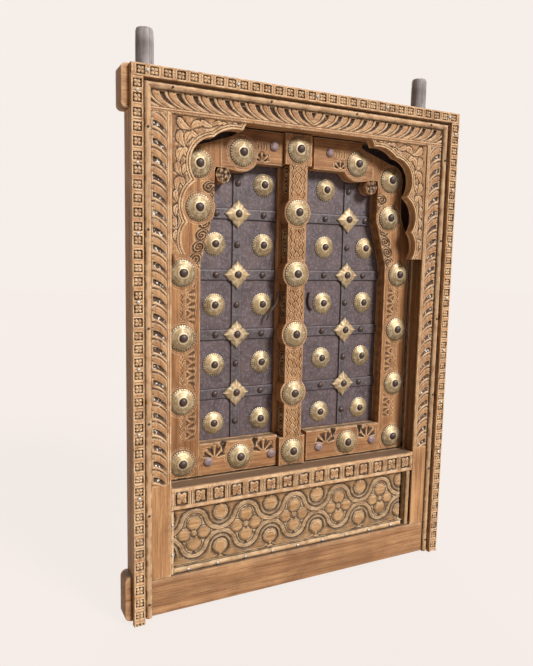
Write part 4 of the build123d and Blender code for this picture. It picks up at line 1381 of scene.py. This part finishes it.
for side in ("left", "right"):
    strap_boxes = {part: islands(f"{side}_{part}") for part in ("upright_strap", "cross_straps")}
    boxes = sum(strap_boxes.values(), [])
    beside = [(low[FACE] - strap_margin, high[FACE] + strap_margin) for low, high in boxes]
    low, high = span(f"{side}_iron_sheet")
    loop = rectangle(low[FACE], high[FACE])
    sheet = slab([loop], low[1], high[1], sheet_dents, spacing=5.0, edge=0.4, fine=beside,
                 shade_paint=strap_shadow(boxes))
    piece(f"{side}_iron_sheet", [sheet], sheet_iron)
    for part, part_boxes in strap_boxes.items():
        straps = []
        for low, high in part_boxes:
            loop = rectangle(low[FACE], high[FACE])
            straps.append(slab([loop], low[1], high[1], strap_dents, spacing=3.0, edge=1.0))
        piece(f"{side}_{part}", straps, strap_iron)
    print(side, "sheet triangles:", made_count[f"{side}_iron_sheet"], "straps:", len(boxes))

# %% [markdown]
# ## Brass domes, stars and nails
# Each dome is beaten into a shallow cone with a ring round its nail and a rim notched with a
# chisel. The stars are the same idea with an outline that runs out to four points, and nails are
# forged heads on a short shank. All could be modelled once and copied, but beaten metal is never
# twice the same, so each dome and nail is turned from one profile with its own slight wobble, and
# the stars from one profile without.

# %% Domes
dome_sides = 90
dome_radius_shares = [1.0, 1.0, 0.97, 0.92, 0.87, 0.84, 0.74, 0.64, 0.61, 0.52, 0.46, 0.43, 0.36, 0.2]
dome_height_shares = [0.0, 0.12, 0.18, 0.22, 0.25, 0.31, 0.48, 0.60, 0.66, 0.78, 0.85, 0.91, 0.97, 1.0]
# Painted shade for each ring: dark at the rim where the dome meets the wood, and round the nail.
dome_shade = [3.2, 2.4, 0.7, 0.4, 0.3, 0.1, 0.0, 0.2, 0.0, 0.0, 0.3, 0.0, 0.0, 2.2]
notch_every = 3
dark_rings, cut_rings = 5, 3
notch_share = 0.035
# Dirt in the notches, and painted shade on the lower left side.
notch_dirt, lower_left_shade = 2.2, 0.9
wobble_share = 0.008


def dome(box, seed):
    """Beaten dome with a notched rim, dirt in the notches and painted shade on its lower left side."""
    low, high = box
    radius, height = (high[0] - low[0]) / 2, high[1] - low[1]
    turns = np.arange(dome_sides) * 2 * pi / dome_sides
    notch = np.arange(dome_sides) % notch_every == 0
    dice = np.random.default_rng(seed)
    wobble = wobble_share * (np.sin(2 * turns + dice.uniform(0, 6)) - 1)
    # Share of the painted shade on the lower left side, where the dome turns from the light.
    lower = 0.5 - 0.5 * np.sin(turns + 0.7)
    profile, ripple, dark = [], [], []
    for number, (reach, rise) in enumerate(zip(dome_radius_shares, dome_height_shares)):
        profile.append((radius * reach, high[1] - height * rise))
        ripple.append(wobble - notch_share * notch * (number < cut_rings))
        dirt_and_shade = notch_dirt * notch * (number < dark_rings) + lower_left_shade * lower * smooth(0.4, 0.9, reach)
        dark.append(dome_shade[number] + dirt_and_shade)
    return turned(profile, middle_of(box), dome_sides, ripple, dark)


print("sides of a dome:", dome_sides, "with", dome_sides // notch_every, "notches")

# %% Stars
star_sides = 96
star_radius_shares = [1.0, 1.0, 0.95, 0.84, 0.68, 0.50, 0.38, 0.2]
star_height_shares = [0.0, 0.22, 0.38, 0.58, 0.76, 0.90, 0.98, 1.0]
# Painted shade for each ring: darkest at the rim where the star meets the wood, and a little round the hub.
star_shade = [3, 2, 1, 0.2, 0, 0, 0.5, 1.0]
star_waist_share, star_petal_share, star_tip_share = 0.64, 0.08, 0.28
star_hub_share = 0.85


def star(box):
    """Four-pointed star that rises to a round hub."""
    low, high = box
    radius, height = (high[0] - low[0]) / 2, high[1] - low[1]
    tip = 1 - np.abs((np.arange(star_sides) / star_sides * 4 + 0.5) % 1 - 0.5) * 2
    outline = star_waist_share + star_petal_share * smooth(0, 0.4, tip) + star_tip_share * tip ** 4
    shares = zip(star_radius_shares, star_height_shares)
    profile = [(radius * ring, high[1] - height * rise) for ring, rise in shares]
    pointed = smooth(0.3, 0.75, np.array(star_radius_shares))
    ripple = [share * (outline - 1) + (1 - share) * (star_hub_share - 1) for share in pointed]
    return turned(profile, middle_of(box), star_sides, ripple, star_shade)


print("stars on each shutter:", len(islands("left_stars")))

# %% Nail heads
shank_share = 0.35
# Painted shade for each ring of a nail: darkest at the shank and where the head meets the surface.
nail_shade = [3, 3, 2, 1, 0, 0, 0, 0]


def nail_head(box, radius, height, sides=18, seed=0, flat=0.25):
    """Round forged head with its back on the surface, on a short shank."""
    dice = np.random.default_rng(seed)
    turns = np.arange(sides) * 2 * pi / sides
    wobble = 0.02 * np.sin(3 * turns + dice.uniform(0, 6))
    wobble = wobble + 0.03 * np.sin(2 * turns + dice.uniform(0, 6)) - 0.1
    shares = [(shank_share, -0.8), (shank_share, 0.0), (0.92, 0.02), (1.0, 0.2), (0.9, 0.5), (0.68, 0.8)]
    shares += [(flat + 0.1, 0.97), (flat, 1.0)]
    base = box[0][1] + height
    profile = [(radius * reach, base - height * rise) for reach, rise in shares]
    return turned(profile, middle_of(box), sides, [wobble] * len(shares), nail_shade)


print("rings of a nail head:", len(nail_shade))

# %% Fit the brass and the nails
wobble_room = 1.9
for side in ("left", "right"):
    for part in ("frame_bosses", "panel_bosses"):
        domes = [dome(box, number) for number, box in enumerate(islands(f"{side}_{part}"))]
        piece(f"{side}_{part}", domes, brass)
    piece(f"{side}_stars", [star(box) for box in islands(f"{side}_stars")], star_brass)
    for part, height, finish, flat in (
        ("boss_nails", 5.0, nail_iron, 0.25),
        ("strap_nails", 4.5, nail_iron, 0.2),
        ("clench_nails", 5.0, clench_iron, 0.45),
    ):
        boxes = islands(f"{side}_{part}")
        heads = [nail_head(box, (box[1] - box[0])[0] / wobble_room, height, seed=number, flat=flat)
                 for number, box in enumerate(boxes)]
        piece(f"{side}_{part}", heads, finish)
    print(side, "domes:", len(boss_spots[side]), "on timbers, triangles:", made_count[f"{side}_frame_bosses"])

for node, height, finish in (
    ("border_nails", 2.4, bright_nail),
    ("bead_nails", 2.0, nail_iron),
    ("apron_nails", 2.4, bright_nail),
):
    boxes = islands(node)
    heads = [nail_head(box, (box[1] - box[0])[0] / 2, height, 12, number) for number, box in enumerate(boxes)]
    piece(node, heads, finish)
    print(node, len(boxes))

# %% [markdown]
# ## Remains of the latch
# A bent hook hangs from its staple on the left shutter, and half a loop is left on the right.
# A bevelled curve would draw them too, but then they would lack the values that the iron finish
# reads. So a small ring of points is swept along a line that a few chosen points bend.

# %% Latch
hook_points = 28
hook_inset = 2.6
loop_inset = 2.4
loop_radius = 2.3
hook_radius_shares = [0, 0.35, 0.5, 0.65, 1.0]
hook_radii = [2.4, 2.4, 2.6, 2.4, 1.8]


def rod(path, radius, sides=10):
    """Closed rod along a line of points."""
    along = np.gradient(path, axis=0)
    along /= np.linalg.norm(along, axis=1)[:, None]
    across = np.cross(along, (0.0, 1.0, 0.0))
    across /= np.linalg.norm(across, axis=1)[:, None]
    up = np.cross(along, across)
    turns = np.arange(sides) * 2 * pi / sides
    reach = np.broadcast_to(radius, len(path))
    verts = [spot + r * (np.outer(np.cos(turns), a) + np.outer(np.sin(turns), b))
             for spot, a, b, r in zip(path, across, up, reach)]
    return Shape(np.concatenate(verts), tube_faces(len(path), sides), np.zeros(len(path) * sides))


def bent(points, count=20):
    """Smooth line through a few points."""
    points = np.array(points, float)
    shares = np.linspace(0, 1, len(points))
    fine = np.linspace(0, 1, count)
    line = np.stack([np.interp(fine, shares, axis) for axis in points.T], 1)
    for _ in range(3):
        line[1:-1] = (line[:-2] + 2 * line[1:-1] + line[2:]) / 4
    return line


low, high = span("left_latch_hook")
hook_y = low[1] + hook_inset
line = bent([
    (high[0] - hook_inset, hook_y, high[2] - hook_inset),
    (high[0] - 6, hook_y, low[2] + 52),
    (high[0] - 10, hook_y, low[2] + 38),
    (low[0] + 13, hook_y, low[2] + 26),
    (low[0] + 5, hook_y, low[2] + 14),
    (low[0] + hook_inset, hook_y, low[2] + hook_inset),
], hook_points)
thickness = np.interp(np.linspace(0, 1, hook_points), hook_radius_shares, hook_radii)
piece("left_latch_hook", [rod(line, thickness)], nail_iron)

low, high = span("right_latch_loop")
loop_y = (low[1] + high[1]) / 2
line = bent([
    (low[0] + 6, loop_y, high[2] - loop_inset),
    (low[0] + loop_inset, loop_y, low[2] + 22),
    (low[0] + 6, loop_y, low[2] + 8),
    (high[0] - loop_inset, loop_y, low[2] + loop_inset),
])
piece("right_latch_loop", [rod(line, loop_radius)], nail_iron)
print("pieces:", len(made_count), "triangles:", sum(made_count.values()))
print("largest:", max(made_count.items(), key=lambda item: item[1]))

# %% [markdown]
# ## Floor, background and light
# The window stands on a plain cream ground without a horizon, with hardly any shadow. A white
# floor under strong light would do that, but would bleach the wood. So the floor and the world
# show their cream only to rays that come from the eye, straight or by way of brass, and light the
# window as dimmer surfaces. A wide sun from the upper right draws the cuts, and a weaker one
# keeps the back readable.

# %% Floor
CREAM = "#F6EEE9"
FLOOR_SHADE = "#A89E96"
SEEN_SHARE = 0.88
SEEN_STRENGTH = 1.06
FLOOR_SIZE = 24.0


def seen_rays(tree):
    """1 for rays from the eye, straight, mirrored or through glass, and 0 for the rest."""
    rays = add(tree, "ShaderNodeLightPath").outputs
    seen = rays["Is Camera Ray"]
    for ray in ("Is Glossy Ray", "Is Transmission Ray"):
        seen = add(tree, "ShaderNodeMath", {0: seen, 1: rays[ray]}, operation="MAXIMUM").outputs[0]
    return seen


floor_level = cad_box[0][2]
floor_corners = rectangle((-FLOOR_SIZE / 2, -FLOOR_SIZE / 2), (FLOOR_SIZE / 2, FLOOR_SIZE / 2))
floor_mesh = bpy.data.meshes.new("floor")
floor_mesh.from_pydata([(x, y, floor_level) for x, y in floor_corners.tolist()], [], [(0, 1, 2, 3)])
floor = bpy.data.objects.new("floor", floor_mesh)
bpy.context.scene.collection.objects.link(floor)
floor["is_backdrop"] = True

# Matt paper: the last part of its colour is real, so that the window's shadow stays on it.
material, tree = new_material("matt_cream_paper")
share = add(tree, "ShaderNodeMath", {0: seen_rays(tree), 1: SEEN_SHARE}, operation="MULTIPLY").outputs[0]
matt = add(tree, "ShaderNodeBsdfDiffuse", {"Color": linear(FLOOR_SHADE)}).outputs[0]
glow = add(tree, "ShaderNodeEmission", {"Color": linear(CREAM), "Strength": SEEN_STRENGTH}).outputs[0]
mixed = add(tree, "ShaderNodeMixShader", {0: share, 1: matt, 2: glow}).outputs[0]
add(tree, "ShaderNodeOutputMaterial", {"Surface": mixed})
floor_mesh.materials.append(material)
print("floor at", floor_level, "m")

# %% World and suns
FILL = 0.16
FILL_TINT = "#EBD0B4"
SUNS = [  # name, strength, width and turn in degrees
    ("wide_sun", 4.1, 16, (57, 0, 25)),
    ("back_light", 2.0, 40, (52, 0, 155)),
]

world = bpy.data.worlds.new("studio")
world.use_nodes = True
tree = world.node_tree
tree.nodes.clear()
seen = seen_rays(tree)
strength = add(tree, "ShaderNodeMapRange", {"Value": seen, "To Min": FILL, "To Max": 1.0}).outputs[0]
tint = {0: seen, 6: linear(FILL_TINT), 7: linear(CREAM)}
colour = add(tree, "ShaderNodeMix", tint, data_type="RGBA").outputs[2]
sky = add(tree, "ShaderNodeBackground", {"Color": colour, "Strength": strength}).outputs[0]
add(tree, "ShaderNodeOutputWorld", {"Surface": sky})
bpy.context.scene.world = world

for name, strength, width, turn in SUNS:
    lamp = bpy.data.lights.new(name, "SUN")
    lamp.energy = strength
    lamp.angle = radians(width)
    light = bpy.data.objects.new(name, lamp)
    light.rotation_euler = [radians(angle) for angle in turn]
    bpy.context.scene.collection.objects.link(light)
print("suns:", [sun[0] for sun in SUNS])

# %% [markdown]
# ## Camera
# The photograph was taken from the left, a little above the middle of the window. A camera could
# be placed by eye until things line up. Here its place, lens and turn come from solving the
# perspective of the border's corners and the rows of domes, so edges meet those of the photograph.

# %% Camera
IMAGE_HEIGHT = 666
FOCAL_PIXELS = 616.5
SENSOR = 36.0
CAMERA_PLACE = (-663.9, -1145.5, 712.9)
TURN_RIGHT = 26.64
LOOK_DOWN = 6.905
ROLL = 1.14

lens = bpy.data.cameras.new("camera")
lens.sensor_width = SENSOR
lens.lens = FOCAL_PIXELS / IMAGE_HEIGHT * SENSOR
camera = bpy.data.objects.new("camera", lens)
turn = Matrix.Rotation(radians(-TURN_RIGHT), 4, "Z")
tilt = Matrix.Rotation(radians(90 - LOOK_DOWN), 4, "X")
roll = Matrix.Rotation(radians(ROLL), 4, "Z")
camera.matrix_world = Matrix.Translation([length * MM for length in CAMERA_PLACE]) @ turn @ tilt @ roll
bpy.context.scene.collection.objects.link(camera)
bpy.context.scene.camera = camera
bpy.context.scene.view_settings.view_transform = "Standard"
print("lens:", round(lens.lens, 1), "mm")

# %% Boxes of the imported and the dressed window
boxes = {"cad": cad_box, "visual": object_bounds()}
print("boxes:", boxes)
